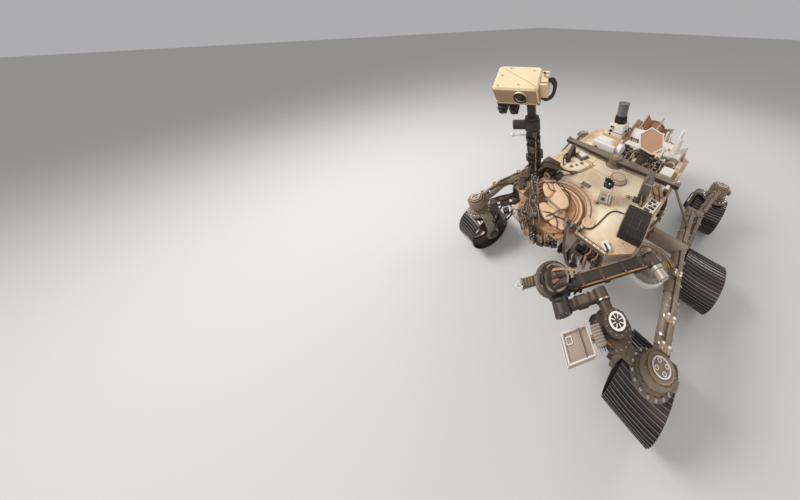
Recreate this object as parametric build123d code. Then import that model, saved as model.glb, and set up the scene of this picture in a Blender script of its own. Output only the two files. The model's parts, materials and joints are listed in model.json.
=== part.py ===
"""Six-wheeled Mars rover, at its real size, in millimetres.

X points ahead, Y to port (the left side), Z up. The origin is on the ground under the vehicle's middle.
A box body stands on a rocker and a bogie each side. The four corner wheels steer, a folded arm with a
tool turret hangs before the port front corner, and a camera mast stands on the starboard front corner.
"""

import math
import os

from build123d import *

# Wheels and axles.
wheel_radius = 262.5
lug_height = 7.5
lug_width = 7.0
lug_count = 48
wheel_width = 330.0
skin_thickness = 6.0
wheelbase = 2220.0
front_axle_x = 1120.0
middle_axle_x = 0.0
rear_axle_x = front_axle_x - wheelbase
corner_track_y = 1060.0
middle_track_y = 1190.0

# Hub, spokes and drive actuator, measured outboard from the wheel's middle plane.
spoke_count = 6
spoke_thickness = 9.0
spoke_sweep_deg = 48.0
spoke_inner_y = 38.0
spoke_depth = 36.0
spoke_ring_thickness = 12.0
seat_gap = 0.2
hub_radius = 85.0
hub_thickness = 14.0
hub_cap_radius = 46.0
hub_cap_height = 22.0
hub_bolt_circle = 66.0
hub_bolt_hole = 5.0
hub_bolt_count = 6
shaft_radius = 20.0
shaft_length = 110.0
shaft_play = 0.05
drive_radius = 62.0
drive_neck_radius = 48.0
drive_neck_inset = 30.0
drive_flange_radius = 70.0
drive_flange_inset = 60.0
drive_flange_width = 18.0
drive_inboard_reach = 250.0
running_gap = 6.0

# Steering: bracket under the drum, pin in the drum.
bracket_thickness = 34.0
bracket_width = 104.0
bracket_wheel_gap = 14.0
bracket_over_wheel = 22.0
bracket_corner_radius = 70.0
socket_radius = 78.0
steer_flange_radius = 132.0
steer_pin_radius = 25.0
steer_pin_length = 60.0
drum_radius = 70.0
drum_height = 190.0
drum_cap_radius = 54.0
drum_cap_height = 12.0
drum_button_radius = 13.0
drum_button_height = 8.0
drum_button_place = 22.0
drum_ring_radius = 104.0
drum_ring_thickness = 18.0
collar_thickness = 24.0
collar_height = 90.0
collar_under_top = 24.0

# Suspension tubes.
rocker_pivot_x = 230.0
rocker_tube_radius = 42.0
rocker_body_gap = 285.0
rocker_hub_radius = 74.0
rocker_knee_x = 780.0
rocker_knee_inset = 75.0
rocker_neck_length = 170.0
rocker_neck_inset = 36.0
rocker_bend = 90.0
sleeve_thickness = 7.0
sleeve_length = 90.0
tube_end_gap = 12.0
bogie_pivot_x = -560.0
rocker_over_belly = 140.0
bogie_under_belly = 60.0
bogie_tube_radius = 34.0
bogie_wheel_gap = 50.0
bogie_hub_radius = 62.0
bogie_pin_radius = 30.0
bogie_neck_length = 190.0
bogie_neck_inset = 34.0
bogie_knee_height = 190.0
bogie_foot_height = 20.0
bogie_knee_back = 40.0

# Body and deck.
body_length = 1730.0
body_front_x = 880.0
body_rear_x = body_front_x - body_length
body_half_width = 620.0
body_bottom_z = 660.0
body_height = 440.0
deck_z = body_bottom_z + body_height
deck_thickness = 18.0
deck_lip = 14.0
corner_cut = 70.0
arm_corner_cut = 130.0
belly_cut = 60.0
front_pocket_width = 190.0
front_pocket_height = 210.0
front_pocket_depth = 70.0
front_pocket_y = 385.0
edge_beam_width = 34.0
edge_beam_height = 44.0
edge_beam_start_y = 225.0
lift_x = 120.0
lift_spacing_x = 600.0
lift_spacing_y = 860.0
lift_hole_radius = 6.5

# Round bay at the deck's front edge, with its cover and cowl.
bay_inset = 68.0
bay_side_share = -0.19
bay_radius = 322.0
bay_depth = 34.0
bay_floor = 12.0
bay_rib_inset = 40.0
bay_rib_width = 20.0
bay_rib_height = 30.0
bay_overhang = 160.0
lobe_width = 142.0
lobe_height = 44.0
lobe_step = 16.0
cowl_radius = 268.0
cowl_thickness = 14.0
cowl_drop = 200.0
cowl_taper = 60.0
cowl_half_angle_deg = 58.0

# Differential bar across the deck.
differential_x = -140.0
differential_overhang = 62.0
differential_middle_width = 120.0
differential_end_width = 66.0
differential_height = 46.0
differential_lift = 52.0
differential_hub_radius = 78.0
differential_hub_rise = 16.0
differential_foot_radius = 96.0
link_radius = 12.0
link_ball_radius = 18.0
link_inset = 24.0

# Mast.
mast_x = 600.0
mast_edge_inset = 60.0
mast_base_height = 120.0
mast_foot_radius = 84.0
mast_tube_radius = 46.0
mast_band = 12.0
mast_band_width = 26.0
mast_band_pitch = 190.0
mast_height = 640.0
pan_drum_radius = 72.0
pan_drum_height = 90.0
pan_pin_radius = 24.0
pan_pin_depth = 60.0
neck_disc_height = 22.0
neck_depth = 48.0
neck_width = 70.0
neck_drum_radius = 40.0
neck_drum_half = 62.0
neck_height = 215.0
tilt_pin_radius = 16.0
head_length = 262.0
head_width = 352.0
head_height = 150.0
head_ahead = 18.0
head_aside = -70.0
head_lift = 46.0
head_pan_deg = 34.0
head_tilt_deg = 25.0
head_lens_radius = 50.0
head_lens_y = 36.0
head_lens_depth = 22.0
camera_length = 86.0
camera_width = 62.0
camera_spread = camera_width * 0.78
camera_aside = head_aside - head_width * 0.27
camera_height = 66.0
camera_bar_depth = 36.0
boom_length = 150.0
boom_radius = 9.0
boom_tip_radius = 20.0

# Six-sided dish.
dish_x = -395.0
dish_y_share = 0.35
dish_height = 280.0
dish_flats = 250.0
dish_thickness = 30.0
dish_offset = 62.0
dish_back_radius = 84.0
dish_back_depth = 24.0
dish_azimuth_deg = 40.0
dish_tilt_deg = 38.0
dish_base_height = 100.0
dish_base_radius = 66.0
dish_drum_radius = 48.0
dish_drum_height = 70.0
dish_pin_radius = 14.0
dish_post_pin_radius = 20.0
dish_post_pin_depth = 60.0
dish_cheek_y = 44.0
dish_cheek_thickness = 16.0

# Drum antenna on its box.
whip_x = -740.0
whip_y_share = -0.45
whip_radius = 66.0
whip_height = 285.0
whip_lift = 220.0
whip_box_size = 200.0
whip_box_height = 120.0
whip_leg_radius = 12.0
whip_leg_spread = 48.0
whip_plate = 8.0

# Power source behind the body.
power_behind_body = 382.0
power_under_deck = 115.0
power_core_radius = 130.0
power_fin_reach = 290.0
power_length = 540.0
power_fin_inset = 45.0
power_fin_count = 8
power_fin_thickness = 12.0
power_tilt_deg = 24.0
cradle_radius = 96.0
cradle_ring_radius = 122.0
cradle_ring_width = 16.0
panel_y_share = 0.68
panel_reach = 420.0
panel_thickness = 18.0
panel_over_deck = 230.0

# Arm: folded, the upper arm leads to starboard across the front, the forearm comes back beside it.
arm_behind_front = 225.0
arm_side_gap = 140.0
arm_under_deck = 90.0
arm_heading_deg = -32.0
upper_length = 752.0
fore_length = 272.0
fore_offset = 112.0
turret_offset = 282.0
upper_radius = 42.0
upper_ring = 9.0
upper_ring_width = 30.0
fore_radius = 34.0
bowl_radius = 130.0
bowl_wall = 12.0
bowl_depth = 160.0
bowl_under_arm = 120.0
bowl_well = 46.0
shoulder_post_radius = 56.0
shoulder_pin_radius = 30.0
shoulder_disc_radius = 84.0
shoulder_disc_height = 16.0
cheek_y = 62.0
cheek_thickness = 24.0
cheek_radius = 48.0
lift_pin_radius = 18.0
lift_motor_radius = 40.0
lift_motor_length = 66.0
elbow_radius = 92.0
elbow_body_radius = 66.0
elbow_cap_low = 20.0
elbow_cap_high = 84.0
elbow_half = 46.0
elbow_end_gap = 20.0
elbow_pin_radius = 20.0
elbow_pin_depth = 30.0
elbow_saddle_width = 60.0
elbow_drive_radius = 34.0
elbow_drive_rib = 5.0
elbow_drive_rib_count = 7
elbow_drive_y = -104.0
elbow_drive_drop = 16.0
elbow_drive_ahead = 150.0
elbow_drive_back = 90.0
fore_eye_radius = 56.0
fore_sleeve = 7.0
wrist_radius = 48.0
fore_half = 40.0
wrist_pin_radius = 18.0
wrist_pin_depth = 22.0
wrist_neck_radius = 40.0
wrist_boss_radius = 56.0
wrist_boss_half = 42.0
arm_gap = 6.0

# Turret at the wrist's end.
turret_pin_radius = 22.0
turret_top_radius = 70.0
turret_plate_radius = 116.0
turret_plate_height = 24.0
turret_ring_radius = 46.0
turret_ring_inner = 26.0
turret_ring_height = 22.0
framed_ahead = 228.0
framed_length = 168.0
framed_width = 152.0
framed_height = 108.0
frame_rail = 14.0
frame_rail_height = 8.0
ribbed_length = 70.0
ribbed_width = 84.0
ribbed_height = 92.0
ribbed_ahead = 58.0
ribbed_across = -62.0
rib_count = 5
rib_rise = 8.0
drill_radius = 36.0
drill_nose_radius = 24.0
drill_length = 96.0
drill_nose_length = 16.0
drill_back = 10.0
drill_across = 60.0
housing_back = 72.0
housing_across = -20.0
housing_length = 92.0
housing_width = 100.0
housing_height = 84.0
chuck_radius = 14.0
chuck_depth = 50.0

# Equipment on the deck and the faces.
sensor_size = 104.0
sensor_height = 170.0
pillar_size = 82.0
pillar_height = 230.0
oval_radius = 82.0
oval_height = 50.0
box_bevel = 8.0
housing_base_x = 250.0
housing_base_y = 170.0
housing_top_share = 0.68
housing_rise = 78.0
housing_side_share = 0.885
carousel_radius = 100.0
carousel_depth = 110.0
carousel_door = 13.0
carousel_side_share = -0.726
carousel_over_belly = 175.0
eye_size = 58.0
eye_depth = 60.0
eye_tube_radius = 17.0
eye_tube_length = 24.0
front_eye_rise = 85.0
rear_eye_rise = 300.0
slant_radius = 36.0
slant_back = 65.0
slant_height = 250.0
hoop_side_share = 0.42
hoop_width = 28.0
hoop_strip = 10.0
hoop_reach = 170.0

# Places that follow from the sizes above.
rocker_pivot_z = body_bottom_z + rocker_over_belly
bogie_pivot_z = body_bottom_z - bogie_under_belly
bay_x = body_front_x - bay_inset
bay_y = bay_side_share * body_half_width
bay_cut_x = body_front_x + bay_overhang
mast_top_z = deck_z + mast_height
tilt_z = mast_top_z + neck_height
dish_z = deck_z + dish_height
whip_base_z = deck_z + whip_lift
power_x = body_rear_x - power_behind_body
power_z = deck_z - power_under_deck
panel_top_z = deck_z + panel_over_deck
arm_x = body_front_x - arm_behind_front
arm_z = deck_z - arm_under_deck
bowl_top_z = arm_z - bowl_under_arm
bowl_bottom_z = bowl_top_z - bowl_depth
carousel_y = carousel_side_share * body_half_width
carousel_z = body_bottom_z + carousel_over_belly
hoop_y = hoop_side_share * body_half_width
rocker_tube_y = body_half_width + rocker_body_gap
rocker_knee_y = corner_track_y - rocker_knee_inset
bogie_tube_y = middle_track_y - wheel_width / 2 - bogie_wheel_gap
rocker_rear_y = bogie_tube_y - bogie_tube_radius - rocker_tube_radius - tube_end_gap
differential_half_span = body_half_width + differential_overhang
mast_y = mast_edge_inset - body_half_width
dish_y = dish_y_share * body_half_width
whip_y = whip_y_share * body_half_width
arm_y = body_half_width + arm_side_gap
wrist_at = upper_length - fore_length
bracket_inner_y = wheel_width / 2 + bracket_wheel_gap
bracket_outer_y = bracket_inner_y + bracket_thickness
bracket_under_z = wheel_radius * 2 + bracket_over_wheel
bracket_top_z = bracket_under_z + bracket_thickness
drum_bottom_z = bracket_top_z + running_gap
drum_top_z = drum_bottom_z + drum_height
pin_top_z = drum_bottom_z + steer_pin_length
collar_z = drum_top_z - collar_height - collar_under_top

upright = (Align.CENTER, Align.CENTER, Align.MIN)


def block(x_size, y_size, z_size, x, y, z, turn=0.0):
    """Box centred on a point and turned about Z."""
    return Pos(x, y, z) * Rot(0, 0, turn) * Box(x_size, y_size, z_size)


def rod(radius, start, end):
    """Cylinder from one point to another."""
    first = Vector(*start)
    line = Vector(*end) - first
    return Plane(origin=first, z_dir=line) * Pos(0, 0, line.length / 2) * Cylinder(radius, line.length)


def bored(shape, radius, start, end):
    """Shape with a round hole from one point to another."""
    return shape - rod(radius, start, end)


def bent_tube(radius, points, bends):
    """Round tube along straight runs joined by arcs."""
    path = FilletPolyline(*points, radius=bends)
    start = Plane(origin=path @ 0, z_dir=path % 0)
    return sweep(start * Circle(radius), path=path)


def prism(outline, bottom, top):
    """Closed outline of points in X and Y, raised from one height to another."""
    face = make_face(Polyline(*outline, close=True))
    return Pos(0, 0, bottom) * extrude(face, top - bottom)


def polar_face(corners):
    """Flat face whose corners are given as radius and degrees."""
    points = []
    for radius, angle in corners:
        turn = math.radians(angle)
        points.append((radius * math.cos(turn), radius * math.sin(turn)))
    return make_face(Polyline(*points, close=True))


def save(shape, name):
    """Write one node."""
    export_step(shape, f"parts/{name}.step")


def wheel_skin():
    """Faceted ring with straight lugs, its axis along Y and its middle plane at zero."""
    root = wheel_radius - lug_height
    half = math.degrees(lug_width / 2 / wheel_radius)
    outer = []
    inner = []
    for index in range(lug_count):
        middle = 360.0 * index / lug_count
        inner.append((root - skin_thickness, middle))
        outer += [(root, middle - half), (wheel_radius, middle - half),
                  (wheel_radius, middle + half), (root, middle + half)]
    return Rot(90, 0, 0) * extrude(polar_face(outer) - polar_face(inner), wheel_width / 2, both=True)


def wheel_centre_parts(side):
    """Spokes with their ring, hub disc, cap and shaft. Outboard is side times Y."""
    inner_flat = (wheel_radius - lug_height - skin_thickness) * math.cos(math.pi / lug_count)
    ring_outer = inner_flat - seat_gap
    ring_inner = ring_outer - spoke_ring_thickness
    outline = Circle(ring_outer) - Circle(ring_inner)
    start_radius = hub_radius - spoke_thickness
    end_radius = ring_inner + spoke_ring_thickness / 2
    for index in range(spoke_count):
        first = 360.0 * index / spoke_count
        last = first + spoke_sweep_deg
        bulge = first + spoke_sweep_deg * 0.28
        middle_radius = (start_radius + end_radius) / 2
        points = []
        for radius, angle in ((start_radius, first), (middle_radius, bulge), (end_radius, last)):
            turn = math.radians(angle)
            points.append((radius * math.cos(turn), radius * math.sin(turn)))
        outline += trace(ThreePointArc(*points), spoke_thickness)
    web = extrude(outline + Circle(hub_radius), spoke_depth)
    web -= Pos(0, 0, hub_thickness) * Cylinder(hub_radius - spoke_thickness, spoke_depth, align=upright)
    cap = Cone(hub_cap_radius, hub_cap_radius * 0.7, hub_cap_height, align=upright)
    cap = Pos(0, 0, hub_thickness) * cap
    shaft = Cylinder(shaft_radius, shaft_length, align=(Align.CENTER, Align.CENTER, Align.MAX))
    part = web + cap + shaft
    for index in range(hub_bolt_count):
        turn = math.radians(360.0 * (index + 0.5) / hub_bolt_count)
        hole = Cylinder(hub_bolt_hole, hub_thickness * 4)
        part -= Pos(hub_bolt_circle * math.cos(turn), hub_bolt_circle * math.sin(turn), 0) * hole
    return Pos(0, side * spoke_inner_y, 0) * Rot(-90 * side, 0, 0) * part


def drive_actuator(side):
    """Stepped drum inside the wheel, bored for the shaft, about the wheel's centre."""
    face_y = side * (spoke_inner_y - running_gap)
    back_y = -side * drive_inboard_reach
    neck_y = -side * (wheel_width / 2 - drive_neck_inset)
    flange_y = face_y - side * drive_flange_inset
    body = rod(drive_radius, (0, face_y, 0), (0, neck_y, 0))
    body += rod(drive_neck_radius, (0, neck_y, 0), (0, back_y, 0))
    body += rod(drive_flange_radius, (0, flange_y, 0), (0, flange_y - side * drive_flange_width, 0))
    bore_end = face_y - side * shaft_length
    return bored(body, shaft_radius + shaft_play, (0, face_y + side, 0), (0, bore_end, 0))


def steering_bracket(side):
    """Inverted L from the steering pin over the wheel to the drive, about the axle's ground point."""
    outline = [
        (0, bracket_under_z), (-bracket_inner_y, bracket_under_z), (-bracket_inner_y, wheel_radius),
        (-bracket_outer_y, wheel_radius), (-bracket_outer_y, bracket_top_z), (0, bracket_top_z),
    ]
    face = make_face(Polyline(*[(side * y, z) for y, z in outline], close=True))
    leg = extrude(Plane.YZ * face, bracket_width / 2, both=True)
    corner = leg.edges().filter_by(Axis.X).sort_by_distance((0, -side * bracket_outer_y, bracket_top_z))[0]
    leg = fillet(corner, bracket_corner_radius)
    inner = (0, -side * bracket_inner_y, wheel_radius)
    outer = (0, -side * bracket_outer_y, wheel_radius)
    socket = rod(socket_radius, inner, outer)
    flange = rod(steer_flange_radius, (0, 0, bracket_under_z), (0, 0, bracket_top_z))
    pin = rod(steer_pin_radius, (0, 0, bracket_top_z), (0, 0, pin_top_z - 2))
    beyond_inner = (0, -side * (bracket_inner_y - 1), wheel_radius)
    beyond_outer = (0, -side * (bracket_outer_y + 1), wheel_radius)
    return bored(leg + socket + flange + pin, drive_neck_radius + seat_gap, beyond_inner, beyond_outer)


def steering_drum():
    """Drum above a corner wheel with its ring, cap and four buttons, about the axle's ground point."""
    cap_top_z = drum_top_z + drum_cap_height
    part = rod(drum_radius, (0, 0, drum_bottom_z), (0, 0, drum_top_z))
    part += rod(drum_ring_radius, (0, 0, drum_bottom_z), (0, 0, drum_bottom_z + drum_ring_thickness))
    part += rod(drum_cap_radius, (0, 0, drum_top_z), (0, 0, cap_top_z))
    for x_sign, y_sign in ((1, 1), (-1, 1), (-1, -1), (1, -1)):
        x = x_sign * drum_button_place
        y = y_sign * drum_button_place
        part += rod(drum_button_radius, (x, y, cap_top_z), (x, y, cap_top_z + drum_button_height))
    return bored(part, steer_pin_radius + shaft_play, (0, 0, drum_bottom_z - 1), (0, 0, pin_top_z))


def collar(x, y):
    """Clamp ring round a steering drum."""
    return rod(drum_radius + collar_thickness, (x, y, collar_z), (x, y, collar_z + collar_height))


def collar_bore(part, x, y):
    """Cut the drum's seat through what holds it."""
    low = (x, y, collar_z - collar_height)
    high = (x, y, collar_z + 2 * collar_height)
    return bored(part, drum_radius + seat_gap, low, high)


def sleeve(radius, start, end, share):
    """Riveted sleeve round a straight tube, centred at a share of its length."""
    run = Vector(*end) - Vector(*start)
    middle = Vector(*start) + run * share
    half = run.normalized() * (sleeve_length / 2)
    return rod(radius + sleeve_thickness, tuple(middle - half), tuple(middle + half))


def rocker(side):
    """Hub at the body, front tube to the front steering drum and rear tube to the bogie's pivot."""
    collar_middle_z = collar_z + collar_height / 2
    pivot = (rocker_pivot_x, side * rocker_tube_y, rocker_pivot_z)
    knee = (rocker_knee_x, side * rocker_knee_y, rocker_pivot_z)
    neck = (front_axle_x - rocker_neck_length, side * (corner_track_y - rocker_neck_inset),
            collar_middle_z + tube_end_gap)
    front_end = (front_axle_x - drum_radius + 4, side * (corner_track_y - tube_end_gap), collar_middle_z)
    rear_end = (bogie_pivot_x, side * rocker_rear_y, bogie_pivot_z)
    part = bent_tube(rocker_tube_radius, [pivot, knee, neck, front_end], rocker_bend)
    part += rod(rocker_tube_radius, pivot, rear_end)
    for share in (0.3, 0.72):
        part += sleeve(rocker_tube_radius, pivot, knee, share)
    part += sleeve(rocker_tube_radius, pivot, rear_end, 0.82)
    hub_end_y = rocker_tube_y + rocker_tube_radius + sleeve_thickness
    part += rod(rocker_hub_radius, (rocker_pivot_x, side * body_half_width, rocker_pivot_z),
                (rocker_pivot_x, side * hub_end_y, rocker_pivot_z))
    eye_inner_y = rocker_rear_y - rocker_tube_radius
    eye_outer_y = rocker_rear_y + rocker_tube_radius
    part += rod(bogie_hub_radius, (bogie_pivot_x, side * eye_inner_y, bogie_pivot_z),
                (bogie_pivot_x, side * eye_outer_y, bogie_pivot_z))
    pin_end_y = bogie_tube_y + bogie_tube_radius + tube_end_gap
    part += rod(bogie_pin_radius, rear_end, (bogie_pivot_x, side * pin_end_y, bogie_pivot_z))
    part += collar(front_axle_x, side * corner_track_y)
    return collar_bore(part, front_axle_x, side * corner_track_y)


def bogie(side):
    """Rear tube to the rear steering drum and front tube down to the middle wheel's drive actuator."""
    collar_middle_z = collar_z + collar_height / 2
    pivot = (bogie_pivot_x, side * bogie_tube_y, bogie_pivot_z)
    neck_y = corner_track_y - bogie_neck_inset
    rear_neck = (rear_axle_x + bogie_neck_length, side * neck_y, collar_middle_z)
    rear_end = (rear_axle_x + drum_radius - 4, side * (corner_track_y - tube_end_gap), collar_middle_z)
    knee = (middle_axle_x - bogie_knee_back, side * bogie_tube_y, wheel_radius + bogie_knee_height)
    foot = (middle_axle_x, side * bogie_tube_y, wheel_radius + bogie_foot_height)
    part = bent_tube(bogie_tube_radius, [pivot, rear_neck, rear_end], rocker_bend * 2 / 3)
    part += bent_tube(bogie_tube_radius, [pivot, knee, foot], rocker_bend)
    part += sleeve(bogie_tube_radius, pivot, knee, 0.55)
    socket_end_y = middle_track_y - bracket_inner_y
    part += rod(socket_radius, (middle_axle_x, side * (bogie_tube_y - bogie_tube_radius), wheel_radius),
                (middle_axle_x, side * socket_end_y, wheel_radius))
    eye_inner_y = bogie_tube_y - bogie_tube_radius - tube_end_gap * 2 / 3
    part += rod(bogie_hub_radius, (bogie_pivot_x, side * eye_inner_y, bogie_pivot_z),
                (bogie_pivot_x, side * (bogie_tube_y + bogie_tube_radius), bogie_pivot_z))
    part += collar(rear_axle_x, side * corner_track_y)
    part = collar_bore(part, rear_axle_x, side * corner_track_y)
    inner = bogie_tube_y - wheel_width / 2
    outer = bogie_tube_y + wheel_width / 2
    part = bored(part, bogie_pin_radius + seat_gap, (bogie_pivot_x, side * inner, bogie_pivot_z),
                 (bogie_pivot_x, side * outer, bogie_pivot_z))
    return bored(part, drive_neck_radius + seat_gap, (middle_axle_x, side * inner, wheel_radius),
                 (middle_axle_x, side * outer, wheel_radius))


def deck_outline(grow):
    """Corners of the body's plan, grown by a lip, with the arm's corner cut deeper."""
    rear = body_rear_x - grow
    front = body_front_x + grow
    wide = body_half_width + grow
    return [
        (rear, -wide + corner_cut), (rear + corner_cut, -wide),
        (front - corner_cut, -wide), (front, -wide + corner_cut),
        (front, wide - arm_corner_cut), (front - arm_corner_cut, wide),
        (rear + corner_cut, wide), (rear, wide - corner_cut),
    ]


def body_box():
    """Closed box under the deck: cut corners, bevelled belly, the bay's seat and a pocket in the front."""
    box = prism(deck_outline(0), body_bottom_z, deck_z - deck_thickness)
    box = chamfer(box.faces().sort_by(Axis.Z)[0].edges(), belly_cut)
    seat = Pos(bay_x, bay_y, deck_z - deck_thickness) * Cylinder(bay_radius, bay_depth * 2)
    pocket_z = (body_bottom_z + belly_cut + deck_z) / 2
    pocket = block(front_pocket_depth * 2, front_pocket_width, front_pocket_height,
                   body_front_x, front_pocket_y, pocket_z)
    return box - seat - pocket


def top_deck():
    """Deck plate with its lip, the bay's opening, the lifting holes and a beam along its port front edge."""
    plate = prism(deck_outline(deck_lip), deck_z - deck_thickness, deck_z)
    for x in (lift_x - lift_spacing_x / 2, lift_x + lift_spacing_x / 2):
        for y in (-lift_spacing_y / 2, lift_spacing_y / 2):
            plate = bored(plate, lift_hole_radius, (x, y, deck_z - deck_thickness - 1), (x, y, deck_z + 1))
    plate -= Pos(bay_x, bay_y, deck_z) * Cylinder(bay_radius, deck_thickness * 3)
    beam_end_y = body_half_width - arm_corner_cut
    beam_length = beam_end_y - edge_beam_start_y
    beam_x = body_front_x + deck_lip + edge_beam_width / 2
    beam_z = deck_z - deck_thickness + edge_beam_height / 2
    beam = block(edge_beam_width, beam_length, edge_beam_height,
                 beam_x, (edge_beam_start_y + beam_end_y) / 2, beam_z)
    return plate + chamfer(beam.edges().filter_by(Axis.Y), box_bevel)


def banana(arc, start, end, width, height):
    """Raised strip along an arc, with round ends."""
    outline = trace(arc, width) + Pos(*start) * Circle(width / 2) + Pos(*end) * Circle(width / 2)
    return extrude(outline, height)


def bay_cover():
    """Stepped round cover with two ribs and a raised curved lobe, and the curved cowl under its front."""
    floor_z = deck_z - deck_thickness - bay_depth
    rib_outer = bay_radius - bay_rib_inset
    disc = Cylinder(bay_radius - seat_gap, bay_floor, align=upright)
    rib = Cylinder(rib_outer, bay_rib_height, align=upright)
    rib -= Cylinder(rib_outer - bay_rib_width, bay_rib_height * 3)
    rib_inner = rib_outer - 2 * bay_rib_width
    second = Cylinder(rib_inner, bay_rib_height / 2, align=upright)
    second -= Cylinder(rib_inner - bay_rib_width / 2, bay_rib_height * 3)
    start = (-0.50 * bay_radius, -0.54 * bay_radius)
    end = (0.34 * bay_radius, 0.58 * bay_radius)
    arc = ThreePointArc(start, (-0.12 * bay_radius, 0.04 * bay_radius), end)
    lobe = banana(arc, start, end, lobe_width, lobe_height)
    lobe += banana(arc, start, end, lobe_width - 2 * lobe_step, lobe_height + lobe_step)
    cover = Pos(bay_x, bay_y, floor_z) * (disc + rib + lobe + second)
    cover -= block(bay_radius, bay_radius * 3, bay_radius, bay_cut_x + bay_radius / 2, bay_y, floor_z)
    low_radius = cowl_radius - cowl_taper
    corners = [(cowl_radius, 0), (cowl_radius - cowl_thickness, 0),
               (low_radius - cowl_thickness, -cowl_drop), (low_radius, -cowl_drop)]
    profile = make_face(Polyline(*corners, close=True))
    turn = Rot(0, 0, -cowl_half_angle_deg)
    cowl = turn * revolve(Plane.XZ * profile, Axis.Z, 2 * cowl_half_angle_deg)
    cowl = Pos(bay_x, bay_y, floor_z) * cowl
    cowl -= block(body_front_x, bay_radius * 3, cowl_drop * 3, body_front_x / 2, bay_y, floor_z)
    cowl -= block(bay_radius, bay_radius * 3, bay_radius * 2, bay_cut_x + bay_radius / 2, bay_y, floor_z)
    front = block(cowl_thickness, bay_radius * 0.82, cowl_drop * 0.72,
                  bay_cut_x - cowl_thickness / 2, bay_y, floor_z - cowl_drop * 0.36)
    return cover + cowl + front


def differential():
    """Tapered bar with a hub, and the turned foot that carries it, as two solids."""
    low = deck_z + differential_lift
    half = differential_half_span
    narrow = differential_end_width / 2
    wide = differential_middle_width / 2
    outline = [(-narrow, -half), (narrow, -half), (wide, 0), (narrow, half), (-narrow, half), (-wide, 0)]
    bar = prism([(differential_x + x, y) for x, y in outline], low, low + differential_height)
    bar += rod(differential_hub_radius, (differential_x, 0, low - arm_gap),
               (differential_x, 0, low + differential_height + differential_hub_rise))
    foot = Pos(differential_x, 0, deck_z) * Cone(differential_foot_radius, differential_hub_radius * 0.8,
                                                 differential_lift - arm_gap, align=upright)
    return Compound(children=[bar, foot])


def differential_links():
    """Rods from the bar's ends down to the rockers' rear tubes."""
    links = []
    run = rocker_pivot_x - bogie_pivot_x
    fall = rocker_pivot_z - bogie_pivot_z
    share = (rocker_pivot_x - differential_x) / run
    tube_z = rocker_pivot_z - share * fall
    tube_y = rocker_tube_y + share * (rocker_rear_y - rocker_tube_y)
    steep = math.hypot(run, fall) / run
    top_z = deck_z + differential_lift - link_ball_radius - seat_gap
    foot_z = tube_z + (rocker_tube_radius + link_ball_radius + seat_gap) * steep
    for side in (1, -1):
        top = (differential_x, side * (differential_half_span - link_inset), top_z)
        foot = (differential_x, side * tube_y, foot_z)
        links.append(rod(link_radius, top, foot) + Pos(*top) * Sphere(link_ball_radius)
                     + Pos(*foot) * Sphere(link_ball_radius))
    return Compound(children=links)


def arm_point(along, across, height):
    """Place in the folded arm's own plane: along the upper arm, across it to the front, and height."""
    turn = math.radians(arm_heading_deg)
    x = arm_x + along * math.cos(turn) - across * math.sin(turn)
    y = arm_y + along * math.sin(turn) + across * math.cos(turn)
    return (x, y, height)


def arm_block(along_size, across_size, z_size, along, across, height):
    """Box in the folded arm's own plane."""
    x, y, z = arm_point(along, across, height)
    return block(along_size, across_size, z_size, x, y, z, arm_heading_deg)


def arm_base():
    """Bowl of the shoulder with its post, on a bracket from the body's port side."""
    floor_z = bowl_top_z - bowl_well
    neck = bowl_radius * 0.5
    profile = [(0, bowl_bottom_z), (neck, bowl_bottom_z), (bowl_radius * 0.8, bowl_bottom_z + bowl_well),
               (bowl_radius, floor_z), (bowl_radius, bowl_top_z), (bowl_radius - bowl_wall, bowl_top_z),
               (bowl_radius - bowl_wall, floor_z), (0, floor_z)]
    face = make_face(Polyline(*profile, close=True))
    bowl = Pos(arm_x, arm_y, 0) * revolve(Plane.XZ * face, Axis.Z)
    post = rod(shoulder_post_radius, (arm_x, arm_y, floor_z), (arm_x, arm_y, bowl_top_z + arm_gap))
    outline = [(arm_x - 2 * bowl_radius, body_half_width), (arm_x + neck, body_half_width),
               (arm_x + neck, arm_y), (arm_x - neck, arm_y)]
    plate = prism(outline, bowl_bottom_z + arm_gap, bowl_bottom_z + bowl_well)
    return bored(bowl + post + plate, shoulder_pin_radius + shaft_play,
                 (arm_x, arm_y, floor_z - arm_gap), (arm_x, arm_y, bowl_top_z + 2 * arm_gap))


def arm_shoulder():
    """Turning head on the bowl: pin, disc, the fork of the lifting joint and its motor."""
    disc_z = bowl_top_z + 2 * arm_gap
    cheek_low_z = disc_z + shoulder_disc_height - arm_gap
    part = rod(shoulder_pin_radius, (arm_x, arm_y, bowl_top_z - bowl_well + 1), (arm_x, arm_y, disc_z))
    part += rod(shoulder_disc_radius, (arm_x, arm_y, disc_z), (arm_x, arm_y, disc_z + shoulder_disc_height))
    half = cheek_thickness / 2
    for across in (-cheek_y, cheek_y):
        part += arm_block(2 * cheek_radius, cheek_thickness, arm_z - cheek_low_z,
                          0, across, (arm_z + cheek_low_z) / 2)
        part += rod(cheek_radius, arm_point(0, across - half, arm_z), arm_point(0, across + half, arm_z))
    outer = cheek_y + half
    motor_end = outer + lift_motor_length
    part += rod(lift_motor_radius, arm_point(0, outer, arm_z), arm_point(0, motor_end, arm_z))
    return bored(part, lift_pin_radius + shaft_play, arm_point(0, -outer - 1, arm_z),
                 arm_point(0, outer + half, arm_z))


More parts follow.
